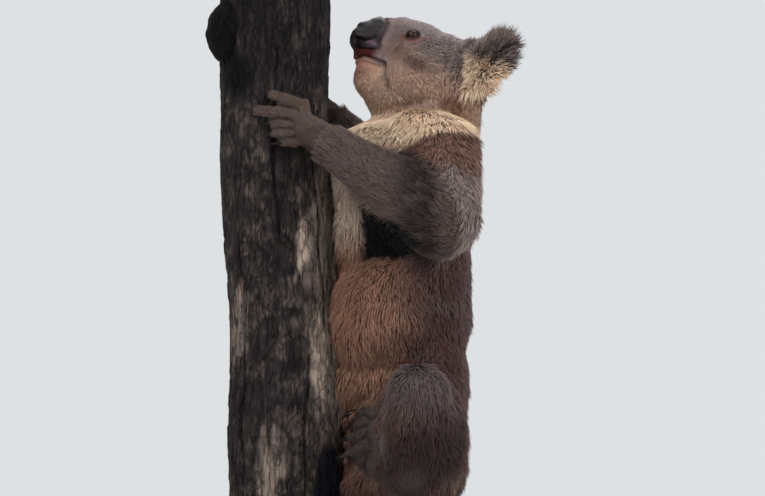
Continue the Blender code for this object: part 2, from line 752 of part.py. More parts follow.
def main():
    clear_scene()
    parts = new_collection("koala")
    cutters = new_collection("cutters")

    log = make_log()
    base, rods = make_stand()
    log_cut = cutter_of(log, cutters)
    nose = make_nose()
    eyes = make_eyes()
    body = make_body()
    carve(body, log_cut, cutter_of(nose, cutters), *[cutter_of(eye, cutters) for eye in eyes])

    flesh, claws = [], []
    for where, side in (("left", LEFT), ("right", RIGHT)):
        body_cut = cutter_of(body, cutters, grow=2 * GAP)
        hooks = hand_claws(where, side) + foot_claws(where, side)
        claws += [carve(hook, body_cut, log_cut) for hook in hooks]
        arm = take(body, f"whole_arm_{where}", arm_region(where, side), cutters)
        flesh.append(take(body, f"foot_{where}", foot_region(where, side), cutters))
        flesh.append(take(body, f"leg_{where}", leg_region(where, side), cutters))
        names = [f"{name}_{where}" for name in ("upper_arm", "forearm", "hand")]
        flesh += split(arm, names, arm_planes(where, side))
    torso, neck, head = split(body, ("torso", "neck", "head"), NECK_PLANES)
    for name, side in (("ear_left", 1.0), ("ear_right", -1.0)):
        head, ear = split(head, ("head", name), [ear_plane(side)])
        flesh.append(ear)
    flesh += [torso, neck, head]

    finishes = [(flesh, "fur_grey"), ([nose], "nose_leather"), (eyes, "eye"), (claws, "claw")]
    finishes += [([log], "bark"), ([base], "stand_black"), (rods, "stand_steel")]
    for pieces, finish in finishes:
        for piece in pieces:
            piece.data.materials.clear()
            piece.data.materials.append(material(finish))
            for collection in list(piece.users_collection):
                collection.objects.unlink(piece)
            parts.objects.link(piece)
            piece.data.shade_smooth()
            piece.data.set_sharp_from_angle(angle=math.radians(50.0))


main()
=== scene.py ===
"""Dresses the solid koala: skin, coat, face, claws, bark, display stand and studio.

Metres, +Z up.  The animal faces -X and its left side is towards -Y.
"""

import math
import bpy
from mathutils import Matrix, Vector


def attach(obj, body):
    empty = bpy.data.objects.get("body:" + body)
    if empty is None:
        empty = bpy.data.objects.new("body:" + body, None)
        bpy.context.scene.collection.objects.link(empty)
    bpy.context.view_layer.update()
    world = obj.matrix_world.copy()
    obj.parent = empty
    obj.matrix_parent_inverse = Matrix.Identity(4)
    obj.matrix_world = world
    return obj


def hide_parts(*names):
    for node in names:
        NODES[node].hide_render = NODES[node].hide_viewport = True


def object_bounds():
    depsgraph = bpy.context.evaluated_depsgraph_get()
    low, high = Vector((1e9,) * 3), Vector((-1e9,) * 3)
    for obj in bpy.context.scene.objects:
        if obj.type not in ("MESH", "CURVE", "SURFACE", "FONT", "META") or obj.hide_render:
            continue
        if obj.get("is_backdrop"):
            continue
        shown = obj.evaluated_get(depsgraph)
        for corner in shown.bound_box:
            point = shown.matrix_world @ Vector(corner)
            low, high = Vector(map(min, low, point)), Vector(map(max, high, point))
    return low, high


bl_info = {
    "name": "Koala on a perch",
    "version": (1, 0, 0),
    "blender": (4, 5, 0),
    "location": "3D View > Sidebar > Koala",
    "description": "Skin, coat, face and claws of a life-size koala, with its bark perch and stand",
    "category": "Object",
}

from contextlib import contextmanager
from types import SimpleNamespace

import bmesh
import bpy
import numpy as np
from bpy.props import FloatProperty, FloatVectorProperty, IntProperty, PointerProperty
from mathutils import Matrix, Vector
from mathutils.bvhtree import BVHTree

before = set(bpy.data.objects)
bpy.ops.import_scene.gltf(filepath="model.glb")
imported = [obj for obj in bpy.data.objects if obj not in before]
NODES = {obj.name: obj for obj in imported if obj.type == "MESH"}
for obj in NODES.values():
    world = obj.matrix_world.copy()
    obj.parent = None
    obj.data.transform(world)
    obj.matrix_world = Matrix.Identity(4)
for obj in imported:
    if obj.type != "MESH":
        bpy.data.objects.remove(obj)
CAD_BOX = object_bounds()

BODY = "root"
SIDES = ("left", "right")
SIDE_SIGN = {"left": -1.0, "right": 1.0}  # along Y

# ---- Where things are, as in the solids
HEAD_CENTRE = np.array((0.1580, 0.0, 0.6080))
HEAD_PITCH, HEAD_YAW = math.radians(30.0), math.radians(9.0)
HEAD_FORWARD = np.array((
    -math.cos(HEAD_YAW) * math.cos(HEAD_PITCH),
    -math.sin(HEAD_YAW) * math.cos(HEAD_PITCH),
    math.sin(HEAD_PITCH),
))
HEAD_LEFT = np.array((math.sin(HEAD_YAW), -math.cos(HEAD_YAW), 0.0))
HEAD_UP = np.cross(HEAD_FORWARD, HEAD_LEFT)
HEAD_AXES = np.array((HEAD_FORWARD, HEAD_UP, HEAD_LEFT))

# Places on the head are in millimetres ahead of, above and left of its middle
EYE = np.array((40.0, 8.0, 28.6))
EYE_GAZE = np.array((0.40, 0.22, 0.89))
EAR = np.array((-35.0, 16.0, 75.0))
EAR_ROOT = np.array((-20.0, 4.0, 38.0))
EAR_FACING = np.array((0.86, 0.10, 0.50))
MUZZLE = np.array((58.0, -18.0, 0.0))
ARM_JOINTS = {
    "left": ((0.158, -0.056, 0.508), (0.1578, -0.112, 0.4368), (0.0448, -0.0830, 0.5142)),
    "right": ((0.154, 0.056, 0.512), (0.1506, 0.112, 0.4640), (0.0450, 0.0830, 0.5640)),
}
LEG_JOINTS = {
    "left": ((0.136, -0.050, 0.188), (0.1357, -0.106, 0.2578), (0.1229, -0.0900, 0.1882)),
    "right": ((0.136, 0.050, 0.186), (0.1337, 0.106, 0.2528), (0.1209, 0.0900, 0.1832)),
}
# Digits of the hand: place round the trunk in degrees and rise over the wrist, at knuckle and tip
PALM = (27.0, 0.0196)
PALM_PROUD, PALM_RADII = 0.0150, (0.0200, 0.0165)
MIDDLE_JOINT = (0.42, 0.58)  # shares of knuckle and tip in its place
FINGERS = (
    ((26.0, 0.0420), (1.0, 0.0530), 0.0070),
    ((16.0, 0.0320), (-12.5, 0.0372), 0.0071),
    ((16.0, 0.0228), (0.0, 0.0236), 0.0059),
    ((16.5, 0.0136), (1.0, 0.0134), 0.0058),
    ((19.0, 0.0046), (8.5, 0.0040), 0.0055),
)
# Foot points from the ankle: ahead, inwards and up; the toes then reach on towards the trunk
HEEL, SOLE, INSTEP = (-0.004, -0.002, -0.010), (0.011, 0.012, 0.015), (0.022, 0.024, 0.034)
FOOT_RADII = (0.0170, 0.0185, 0.0155)
TOES = (
    (SOLE, (0.038, 0.066, 0.010), 0.0076),
    (INSTEP, (0.0360, 0.0420, 0.0590), 0.0058),
    (INSTEP, (0.0340, 0.0415, 0.0470), 0.0058),
    (INSTEP, (0.0395, 0.0425, 0.0330), 0.0070),
    (INSTEP, (0.0457, 0.0440, 0.0150), 0.0070),
)
TOE_REACH, TOE_DROOP = 0.017, 0.004
FINGER_MORE, TOE_MORE = (0.0022, 0.0012, 0.0002, -0.0004), (0.0030, 0.0016, 0.0004, -0.0006)
FINGER_PROUD = (0.0058, 0.0062, 0.0012)  # how far knuckle, middle joint and tip clear the bark
GRIP_SHARE = 0.6  # how far up the trunk the hands hold it
HAND_REACH, FOOT_REACH = 0.085, 0.052  # from wrist or instep to the farthest point of the digits
HAND_CLAW, FOOT_CLAW, CLAW_RADIUS = 0.0150, 0.0160, 0.0027
CLAW_SIDES, CLAW_FLAT = 16, 0.72
LOG_BOTTOM, LOG_TOP = 0.073, 0.700
LOG_RADIUS_BOTTOM, LOG_RADIUS_TOP = 0.0610, 0.0570
LOG_LEAN, LEAN_START, LEAN_RISE = -0.013, 0.26, 0.34
BURL_MIDDLE, BURL_RADII = np.array((-0.064, -0.014, 0.643)), np.array((0.024, 0.030, 0.034))
BURL_SOFT = 0.004

REGIONS = ("torso", "neck", "head", "ear", "upper_arm", "forearm", "hand", "leg", "foot")
# Each region's coat: tuft length and width in mm, lift at the root and at the tip in degrees,
# skin in square mm for each tuft, size of its locks in mm, and how strongly they gather.
LENGTH, WIDTH, LIFT, TIP_LIFT, AREA, LOCK, GATHER = range(7)
COAT = {
    "torso": (15.5, 1.5, 36.0, 11.0, 3.5, 8.0, 0.20),
    "neck": (19.0, 1.75, 28.0, 9.0, 1.9, 9.0, 0.16),
    "head": (11.0, 1.3, 36.0, 12.0, 1.9, 7.0, 0.24),
    "ear": (19.0, 1.3, 52.0, 30.0, 1.35, 8.0, 0.26),
    "upper_arm": (14.0, 1.45, 34.0, 11.0, 3.15, 8.0, 0.22),
    "forearm": (10.5, 1.3, 31.0, 9.0, 2.6, 7.0, 0.22),
    "hand": (5.0, 1.0, 22.0, 5.0, 1.2, 5.0, 0.16),
    "leg": (12.5, 1.4, 33.0, 10.0, 2.95, 8.0, 0.22),
    "foot": (5.5, 1.0, 24.0, 6.0, 1.3, 5.0, 0.16),
}
SEED = 11
UV_PATCH = 0.003  # how far each tuft reaches over the bake map
EYE_CLEAR, BARK_CLEAR = 0.0079, 0.0006  # nothing of the coat comes nearer than this
CREST = 14.0  # where the pieces of face and crown meet, ahead of the head's middle
WAIST = 0.42  # where the pieces of chest and belly meet
BARK_HOLLOW = (-0.052, -0.040, 0.592)
CAMERA_PLACE, CAMERA_AIM, CAMERA_LENS = (0.1003, -2.486, 0.155), (0.1003, 0.0, 0.4164), 112.05
LIGHT_AIM = (0.08, 0.0, 0.40)


# ---- Settings
def colour(name, description, red, green, blue):
    """A colour setting, given as it looks on a screen, from 0 to 255."""
    return FloatVectorProperty(
        name=name, description=description, subtype="COLOR", size=3, min=0.0, max=1.0,
        default=linear(red, green, blue),
    )


def linear(red, green, blue):
    shares = (value / 255.0 for value in (red, green, blue))
    return tuple(v / 12.92 if v <= 0.04045 else ((v + 0.055) / 1.055) ** 2.4 for v in shares)


def factor(name, description, low, high):
    """A setting that multiplies the usual value."""
    return FloatProperty(
        name=name, description=description, default=1.0, min=low, max=high, subtype="FACTOR"
    )


def metres(name, description, default):
    return FloatProperty(name=name, description=description, default=default, unit="LENGTH")


class KoalaCoatSettings(bpy.types.PropertyGroup):
    """Size and colours of the coat."""

    fullness: factor("Fullness", "Number of tufts, against the usual number", 0.1, 1.2)
    length: factor("Length", "Length of the tufts, against the usual length", 0.5, 1.2)
    gather: factor("Gather", "How strongly the tufts draw together into locks", 0.0, 2.0)
    grey: colour("Grey", "Crown, nape and forearms", 138, 124, 121)
    dark: colour("Dark grey", "Flanks, elbows and shins", 92, 70, 66)
    russet: colour("Russet", "Shoulders", 138, 105, 92)
    tan: colour("Tan", "Belly", 160, 119, 98)
    cream: colour("Cream", "Ruff, chest and the fringe of the ears", 232, 205, 178)
    buff: colour("Buff", "Cheeks and chin", 184, 153, 134)


class KoalaFaceSettings(bpy.types.PropertyGroup):
    """Sizes and colours of the face."""

    eye_radius: metres("Eye radius", "Radius of the eyeball", 0.0072)
    lid_width: metres("Lid opening width", "Half the width of the opening between the lids", 0.0056)
    lid_height: metres("Lid opening height", "Half the height of that opening", 0.0046)
    nostril: metres("Nostril depth", "How deep the nostrils are", 0.0050)
    iris: colour("Iris", "Colour of the iris", 44, 22, 16)
    leather: colour("Nose", "Bare skin of the nose", 13, 4, 7)
    pad_edge: colour("Nose edge", "Bridge of the nose, where hair begins", 52, 38, 44)
    # A painted highlight: the wet rim of the nostrils catching the light
    pad_wing_highlight: colour("Nose wing", "Rim of the nostrils", 88, 66, 80)
    lip: colour("Lips", "Bare skin of lips and lids", 172, 122, 108)


class KoalaPerchSettings(bpy.types.PropertyGroup):
    """The bark of the perch."""

    sides: IntProperty(name="Sides", description="Steps round the trunk", default=272, min=60)
    rings: IntProperty(name="Rings", description="Steps up the trunk", default=290, min=60)
    ridge: metres("Ridge depth", "Depth of the ridges and cracks in the bark", 0.0030)
    bark: colour("Bark", "Weathered outer bark", 38, 33, 33)
    pale: colour("Pale wood", "Patches where the outer bark is gone", 156, 138, 126)
    # Scorched bark; also the colour of the painted shade in the bark's hollow and cracks and of the
    # painted shadow low down
    char: colour("Char", "Scorched bark", 13, 10, 14)


class KoalaStageSettings(bpy.types.PropertyGroup):
    """Floor and light."""

    key: FloatProperty(name="Key light", description="Watts of the main softbox", default=50.0)
    fill: FloatProperty(name="Fill light", description="Watts of the side softbox", default=43.0)
    sky: FloatProperty(name="Surround", description="Strength of the plain surround", default=0.85)


# ---- Numbers over arrays of points
def lengths(vectors):
    return np.linalg.norm(vectors, axis=1)


def unit(vectors):
    return vectors / np.maximum(np.linalg.norm(vectors, axis=-1, keepdims=True), 1e-12)


def ease(low, high, value):
    """0 below low and 1 above high, with a smooth change between."""
    share = np.clip((value - low) / (high - low), 0.0, 1.0)
    return share * share * (3.0 - 2.0 * share)


def hill(value, middle, width):
    """1 at the middle, falling smoothly to 0 within a few widths."""
    return np.exp(-(((value - middle) / width) ** 2))


def spot(points, middle, radii):
    """1 at the middle of an ellipsoid, about a third at its surface and 0 well outside."""
    return np.exp(-((((points - np.array(middle)) / np.array(radii)) ** 2).sum(axis=1)))


def mix(first, second, share):
    share = np.asarray(share)[..., None]
    return first * (1.0 - share) + np.asarray(second) * share


def layered(tint, *layers):
    """The colours with each pair of colour and share laid over them in turn."""
    for over, share in layers:
        tint = mix(tint, over, share)
    return tint


def read_off(line, at):
    """The second column of a table of pairs, read off at a place in the first."""
    return np.interp(at, line[:, 0], line[:, 1])


def share_of(shares, region):
    return shares[:, REGIONS.index(region)]


def off_segment(points, start, end):
    """Distance from a piece of straight line, and how far along it that is, from 0 to 1."""
    line = end - start
    along = np.clip((points - start) @ line / (line @ line), 0.0, 1.0)
    return lengths(points - start - along[:, None] * line), along


def nearest_piece(points, path):
    """Distance from a broken line, the number of its nearest piece, and how far along that is."""
    best, share = np.full(len(points), np.inf), np.zeros(len(points))
    number = np.zeros(len(points), int)
    for index, (start, end) in enumerate(zip(path, path[1:])):
        distance, along = off_segment(points, start, end)
        closer = distance < best
        best[closer], number[closer], share[closer] = distance[closer], index, along[closer]
    return best, number, share


def off_path(points, path):
    """Distance from a broken line, and how far along it the nearest point is, from 0 to 1."""
    distance, number, along = nearest_piece(points, path)
    return distance, (number + along) / (len(path) - 1)


def chance(x, y, z, seed):
    """A repeatable number from 0 to 1 for each triple of whole numbers."""
    word = (x * 73856093) ^ (y * 19349663) ^ (z * 83492791) ^ (seed * 97531)
    word = word & 0xFFFFFFFF
    for factor in (1274126177, 668265263, 374761393):
        word = ((word ^ (word >> 15)) * factor) & 0xFFFFFFFF
    return ((word ^ (word >> 16)) & 0xFFFFFF) / float(0x1000000)


def cloud(points, size, seed):
    """Smooth noise from -1 to 1 with lumps about this size; size may differ along x, y and z."""
    scaled = points / np.asarray(size)
    base = np.floor(scaled).astype(np.int64)
    part = scaled - base
    part = part * part * (3.0 - 2.0 * part)
    total = np.zeros(len(points))
    for corner in range(8):
        step = np.array((corner & 1, corner >> 1 & 1, corner >> 2 & 1))
        weight = np.prod(np.where(step == 1, part, 1.0 - part), axis=1)
        cell = base + step
        total += weight * chance(cell[:, 0], cell[:, 1], cell[:, 2], seed)
    return total * 2.0 - 1.0


def nearest_seed(points, sizes, seed):
    """The nearest of the scattered points that gather tufts into locks, and that point's number."""
    scale = sizes[:, None]
    scaled = points / scale
    base = np.floor(scaled).astype(np.int64)
    best = np.full(len(points), np.inf)
    found = np.zeros_like(points)
    number = np.zeros(len(points))
    for step in np.ndindex(3, 3, 3):
        cell = base + np.array(step) - 1
        x, y, z = cell.T
        jitter = np.stack([chance(x, y, z, seed + axis) for axis in range(3)], axis=1)
        there = cell + jitter
        distance = ((there - scaled) ** 2).sum(axis=1)
        closer = distance < best
        best[closer] = distance[closer]
        found[closer] = there[closer]
        number[closer] = chance(x, y, z, seed + 3)[closer]
    return found * scale, number


def head_of(points):
    """Millimetres ahead of, above and to the left of the middle of the head."""
    return (points - HEAD_CENTRE) @ HEAD_AXES.T * 1000.0


def from_head(spots):
    return HEAD_CENTRE + np.asarray(spots) @ HEAD_AXES / 1000.0


def turn_from_head(directions):
    return np.asarray(directions) @ HEAD_AXES


# ---- Meshes
def link(data, name):
    obj = bpy.data.objects.new(name, data)
    bpy.context.scene.collection.objects.link(obj)
    return obj


def object_of(bm, name):
    mesh = bpy.data.meshes.new(name)
    bm.to_mesh(mesh)
    bm.free()
    return link(mesh, name)


@contextmanager
def edited(mesh):
    """The mesh opened as a bmesh, and put back when done."""
    bm = bmesh.new()
    bm.from_mesh(mesh)
    bm.verts.ensure_lookup_table()
    yield bm
    bm.to_mesh(mesh)
    bm.free()


def frozen(obj):
    """The object with its modifiers turned into plain mesh."""
    graph = bpy.context.evaluated_depsgraph_get()
    mesh = bpy.data.meshes.new_from_object(obj.evaluated_get(graph))
    obj.modifiers.clear()
    obj.data = mesh
    return obj


def remeshed(obj, voxel):
    remesh = obj.modifiers.new("Remesh", "REMESH")
    remesh.mode = "VOXEL"
    remesh.voxel_size = voxel
    return frozen(obj)


def largest_island(obj):
    with edited(obj.data) as bm:
        left, islands = set(bm.verts), []
        while left:
            island, waiting = set(), [left.pop()]
            while waiting:
                vert = waiting.pop()
                island.add(vert)
                near = {edge.other_vert(vert) for edge in vert.link_edges} & left
                left -= near
                waiting.extend(near)
            islands.append(island)
        largest = max(islands, key=len)
        loose = [vert for island in islands if island is not largest for vert in island]
        bmesh.ops.delete(bm, geom=loose, context="VERTS")
    return obj


def read(items, key, width=3, kind=float):
    """One property of every item of a mesh, a row each."""
    values = np.empty(len(items) * width, kind)
    items.foreach_get(key, values)
    return values.reshape(-1, width)


def points_of(mesh):
    return read(mesh.vertices, "co")


def put_points(mesh, points):
    mesh.vertices.foreach_set("co", np.ascontiguousarray(points, np.float32).ravel())
    mesh.update()


def normals_of(mesh):
    return read(mesh.vertex_normals, "vector")


def edges_of(mesh):
    return read(mesh.edges, "vertices", 2, np.int64)


def triangles_of(mesh, key="vertices"):
    mesh.calc_loop_triangles()
    return read(mesh.loop_triangles, key, 3, np.int64)


def relaxed(values, edges, rounds, share=0.5, keep=None):
    """Values drawn towards the mean of their neighbours; keep is how far each one resists."""
    flat = values.reshape(len(values), -1).astype(float)
    degree = np.bincount(edges.ravel(), minlength=len(values))
    first, second = edges.T
    for _ in range(rounds):
        total = np.empty_like(flat)
        for column in range(flat.shape[1]):
            total[:, column] = np.bincount(first, flat[second, column], len(flat))
            total[:, column] += np.bincount(second, flat[first, column], len(flat))
        step = (total / np.maximum(degree, 1)[:, None] - flat) * share
        if keep is not None:
            step *= (1.0 - keep)[:, None]
        flat = flat + step
    return flat.reshape(values.shape)


def fair(mesh, rounds, keep=None):
    """Smooths a mesh without shrinking it."""
    edges = edges_of(mesh)
    points = points_of(mesh)
    for _ in range(rounds):
        points = relaxed(points, edges, 1, 0.50, keep)
        points = relaxed(points, edges, 1, -0.52, keep)
    put_points(mesh, points)


def refine(obj, choose):
    """Splits each face where choose(points) says yes into four."""
    chosen = choose(points_of(obj.data))
    with edited(obj.data) as bm:
        edges = [e for e in bm.edges if chosen[e.verts[0].index] and chosen[e.verts[1].index]]
        bmesh.ops.subdivide_edges(bm, edges=edges, cuts=1, use_grid_fill=True)
        bmesh.ops.triangulate(bm, faces=[face for face in bm.faces if len(face.verts) > 4])


def paint(mesh, name, values):
    """Stores a colour for each point."""
    layer = mesh.color_attributes.new(name, "FLOAT_COLOR", "POINT")
    rgba = np.ones((len(values), 4), np.float32)
    rgba[:, :3] = values
    layer.data.foreach_set("color", rgba.ravel())


def finish_piece(obj, material, replaced=()):
    """Gives a piece its finish and its place on the body, and hides the solids that it stands for."""
    if material is not None:
        obj.data.materials.clear()
        obj.data.materials.append(material)
    obj.data.shade_smooth()
    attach(obj, BODY)
    if replaced:
        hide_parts(*replaced)
    return obj


# ---- Materials
class Shader:
    """A Principled material under construction."""

    def __init__(self, name, **fixed):
        self.material = bpy.data.materials.new(name)
        self.material.use_nodes = True
        self.tree = self.material.node_tree
        self.surface = self.tree.nodes["Principled BSDF"]
        for socket, value in fixed.items():
            self.surface.inputs[socket.replace("_", " ")].default_value = value
        self.place = self.tree.nodes.new("ShaderNodeTexCoord").outputs["Object"]

    def node(self, kind, inputs=(), **settings):
        node = self.tree.nodes.new(kind)
        for key, value in settings.items():
            setattr(node, key, value)
        for key, value in dict(inputs).items():
            self.feed(node.inputs[key], value)
        return node

    def feed(self, socket, value):
        if isinstance(value, bpy.types.NodeSocket):
            self.tree.links.new(value, socket)
        elif isinstance(value, bpy.types.Node):
            self.tree.links.new(value.outputs[0], socket)
        elif hasattr(value, "__len__") and len(value) == 3 and socket.type == "RGBA":
            socket.default_value = (*value, 1.0)
        else:
            socket.default_value = value

    def attribute(self, name):
        return self.node("ShaderNodeAttribute", attribute_name=name).outputs["Color"]

    def stretched(self, scale, place=None):
        """Coordinates squeezed or stretched along each axis."""
        return self.node(
            "ShaderNodeMapping", {"Vector": place or self.place, "Scale": scale}
        ).outputs["Vector"]

    def noise(self, scale, detail=4.0, place=None, roughness=0.55, output="Fac"):
        inputs = {"Vector": place or self.place, "Scale": scale, "Detail": detail}
        return self.node("ShaderNodeTexNoise", {**inputs, "Roughness": roughness}).outputs[output]

    def maths(self, operation, *values, kind="ShaderNodeMath", output=0):
        return self.node(kind, enumerate(values), operation=operation).outputs[output]

    def vector_maths(self, operation, *values, output=0):
        return self.maths(operation, *values, kind="ShaderNodeVectorMath", output=output)

    def span(self, value, to_low=0.0, to_high=1.0, low=0.3, high=0.7):
        """The value from low to high, spread evenly; most noise lies from 0.3 to 0.7."""
        ends = {"From Min": low, "From Max": high, "To Min": to_low, "To Max": to_high}
        return self.node("ShaderNodeMapRange", {"Value": value, **ends}).outputs["Result"]

    def blend(self, share, first, second, way="MIX"):
        node = self.node("ShaderNodeMix", data_type="RGBA", blend_type=way)
        colours = {"A": first, "B": second}
        self.feed(node.inputs["Factor"], share)
        for socket in node.inputs:
            if socket.type == "RGBA":
                self.feed(socket, colours[socket.name])
        return next(out for out in node.outputs if out.type == "RGBA")

    def shade(self, colour, value, low, high):
        """The colour made darker or lighter by a value from 0 to 1."""
        level = self.span(value, low, high, 0.0, 1.0)
        grey = self.node("ShaderNodeCombineColor", dict.fromkeys(("Red", "Green", "Blue"), level))
        return self.blend(1.0, colour, grey.outputs["Color"], "MULTIPLY")

    def bump(self, height, depth, after=None):
        inputs = {"Height": height, "Distance": depth, "Strength": 1.0}
        if after:
            inputs["Normal"] = after
        return self.node("ShaderNodeBump", inputs).outputs["Normal"]

    def done(self, base=None, roughness=None, normal=None):
        for name, value in (("Base Color", base), ("Roughness", roughness), ("Normal", normal)):
            if value is not None:
                self.feed(self.surface.inputs[name], value)
        return self.material


def coat_material():
    """Soft hair: each tuft's own colour, with fine streaks along it and a faint sheen."""
    look = Shader(
        "coat", Roughness=0.75, Sheen_Weight=0.06, Sheen_Roughness=0.45, Specular_IOR_Level=0.09
    )
    strand = look.node("ShaderNodeUVMap", uv_map="strand").outputs["UV"]
    streaks = look.noise(1.0, 2.0, look.stretched((9.0, 1.3, 1.0), strand))
    base = look.shade(look.attribute("tint"), look.span(streaks), 0.74, 1.22)
    return look.done(base, normal=look.bump(streaks, 0.0002))


def skin_material():
    """Bare skin in the colours of the coat."""
    look = Shader("skin", Roughness=0.85, Specular_IOR_Level=0.12)
    fine = look.noise(900.0, 3.0)
    base = look.shade(look.attribute("tint"), look.span(fine), 0.7, 1.15)
    return look.done(base, normal=look.bump(fine, 0.0003))


def nose_material():
    """Damp pebbled skin."""
    look = Shader("nose_leather", Specular_IOR_Level=0.26)
    pebbles = look.node("ShaderNodeTexVoronoi", {"Vector": look.place, "Scale": 1100.0}).outputs[0]
    broad = look.noise(120.0)
    base = look.shade(look.attribute("tint"), look.span(broad), 0.65, 1.5)
    return look.done(base, look.span(broad, 0.40, 0.58), look.bump(pebbles, 0.00022))


def eye_material(iris):
    """A wet ball: upright pupil, fibrous iris, dark rim.  The UV map runs across the gaze."""
    look = Shader("eye", Roughness=0.05, Specular_IOR_Level=0.16)
    uv = look.node("ShaderNodeUVMap", uv_map="gaze").outputs["UV"]
    parts = look.node("ShaderNodeSeparateXYZ", {"Vector": uv})
    across, upright = (look.maths("MULTIPLY", *[parts.outputs[axis]] * 2) for axis in (0, 1))
    slit = look.maths("ADD", look.maths("MULTIPLY", across, 9.0), upright)
    circle = look.maths("ADD", across, upright)
    base = look.shade(iris, look.span(look.noise(14.0, 5.0, uv)), 0.5, 1.7)
    base = look.blend(look.span(slit, low=0.10, high=0.16), (0.002, 0.002, 0.002), base)
    return look.done(look.blend(look.span(circle, low=0.42, high=0.58), base, (0.008, 0.004, 0.004)))


def claw_material():
    look = Shader("claw", Specular_IOR_Level=0.07)
    streaks = look.noise(300.0, 4.0, look.stretched((1.0, 1.0, 0.35)))
    base = look.blend(streaks, (0.004, 0.003, 0.004), (0.022, 0.016, 0.015))
    return look.done(base, look.span(streaks, 0.35, 0.55), look.bump(streaks, 0.0002))


def bark_material():
    """Fibrous bark in narrow plates, with painted shade in the cracks between them."""
    look = Shader("bark", Specular_IOR_Level=0.10)
    fibre = look.noise(420.0, 8.0, look.stretched((1.0, 1.0, 0.09)), 0.65)
    grain = look.noise(1500.0, 4.0, look.stretched((1.0, 1.0, 0.35)))
    bend = look.noise(45.0, 3.0, roughness=0.5, output="Color")
    bend = look.vector_maths("MULTIPLY", bend, (0.020, 0.020, 0.020))
    bent = look.stretched((1.0, 1.0, 0.15), look.vector_maths("ADD", look.place, bend))
    plates = look.node(
        "ShaderNodeTexVoronoi", {"Vector": bent, "Scale": 110.0}, feature="DISTANCE_TO_EDGE"
    )
    crack = look.span(plates.outputs["Distance"], low=0.0, high=0.10)
    base = look.shade(look.attribute("tint"), look.span(fibre, low=0.32, high=0.68), 0.45, 1.5)
    base = look.shade(base, look.span(grain), 0.75, 1.25)
    # Painted shade: darker in the cracks, slightly lighter on the plates
    base = look.shade(base, crack, 0.58, 1.12)
    relief = look.bump(grain, 0.0006, look.bump(fibre, 0.0020, look.bump(crack, 0.0014)))
    return look.done(base, look.span(fibre, 0.95, 0.7), relief)


def end_grain_material():
    """The sawn ends: growth rings with a fine grain."""
    look = Shader("end_grain", Specular_IOR_Level=0.25)
    apart = look.vector_maths("LENGTH", look.stretched((1.0, 1.0, 0.0)), output="Value")
    reach = look.maths("ADD", apart, look.maths("MULTIPLY", look.noise(35.0, 3.0), 0.010))
    rings = look.maths("SINE", look.maths("MULTIPLY", reach, 1900.0))
    fine = look.noise(1400.0)
    rings = look.span(rings, low=-1.0, high=1.0)
    base = look.blend(rings, (0.16, 0.095, 0.055), (0.30, 0.20, 0.125))
    base = look.shade(base, look.span(fine), 0.75, 1.2)
    return look.done(base, 0.8, look.bump(fine, 0.0003))


def board_material():
    """Black paint on a sealed board: a faint orange-peel with rubbed patches."""
    look = Shader("stand_black", Specular_IOR_Level=0.4)
    wear = look.noise(30.0, 6.0)
    worn = look.span(wear, low=0.45, high=0.75)
    base = look.blend(worn, (0.020, 0.020, 0.022), (0.034, 0.034, 0.036))
    return look.done(base, look.span(wear, 0.38, 0.58), look.bump(look.noise(700.0, 2.0), 0.00012))


def rod_material():
    """Brushed steel."""
    look = Shader("stand_steel", Metallic=1.0, Anisotropic=0.5)
    lines = look.noise(900.0, 3.0, look.stretched((1.0, 1.0, 6.0)))
    base = look.blend(look.span(lines), (0.42, 0.42, 0.43), (0.60, 0.60, 0.60))
    return look.done(base, look.span(lines, 0.24, 0.40), look.bump(lines, 0.00005))


def floor_material():
    look = Shader("floor", Roughness=0.9)
    return look.done(look.blend(look.noise(3.0), (0.74, 0.735, 0.72), (0.78, 0.775, 0.76)))


# ---- Skin
VOXEL = 0.0017
BRIDGE_LOWER = 0.0044  # how far the bridge of the muzzle lies under the solid's flat top
BODY_FACES = 92000  # triangles of skin under the long coat
OVERLAP = 0.0005  # closes the thin cuts between the flesh solids
FACE_DETAIL = 52.0  # mm round the muzzle whose skin stays fine
SOCKET_RIM, SOCKET_SLOPE = 0.0076, 0.42


def flesh_nodes():
    """The names of the flesh solids, each with its region."""
    stems = {node: node.removesuffix("_left").removesuffix("_right") for node in NODES}
    return {node: stem for node, stem in stems.items() if stem in REGIONS}


def on_log(degrees, height, proud, side):
    """A point this far proud of the trunk. 0 degrees is straight out at the side, 90 at its back."""
    angle = math.radians(degrees)
    radius = LOG_RADIUS_BOTTOM + (LOG_RADIUS_TOP - LOG_RADIUS_BOTTOM) * GRIP_SHARE + proud
    middle = log_axis(np.array([height]))[0]
    return np.array((middle[0] + radius * math.sin(angle), side * radius * math.cos(angle), height))


def inward(point):
    """The level direction from a point to the trunk's middle."""
    middle = log_axis(point[2:3])[0]
    return unit(np.array((middle[0] - point[0], -point[1], 0.0)))


def palm_of(name):
    """The middle of the palm."""
    return on_log(PALM[0], ARM_JOINTS[name][2][2] + PALM[1], PALM_PROUD, SIDE_SIGN[name])


def finger_paths(name):
    """Root, knuckle, middle joint and tip of each finger, and its radius."""
    side, wrist, palm = SIDE_SIGN[name], ARM_JOINTS[name][2][2], palm_of(name)
    paths = []
    for knuckle, tip, radius in FINGERS:
        middle = np.array(knuckle) * MIDDLE_JOINT[0] + np.array(tip) * MIDDLE_JOINT[1]
        places = [
            on_log(place[0], wrist + place[1], proud + radius, side)
            for place, proud in zip((knuckle, middle, tip), FINGER_PROUD)
        ]
        paths.append(([palm * 0.7 + places[0] * 0.3, *places], radius))
    return paths


def from_ankle(name, offset):
    ahead, inwards, up = offset
    return np.array(LEG_JOINTS[name][2]) + (-ahead, -SIDE_SIGN[name] * inwards, up)


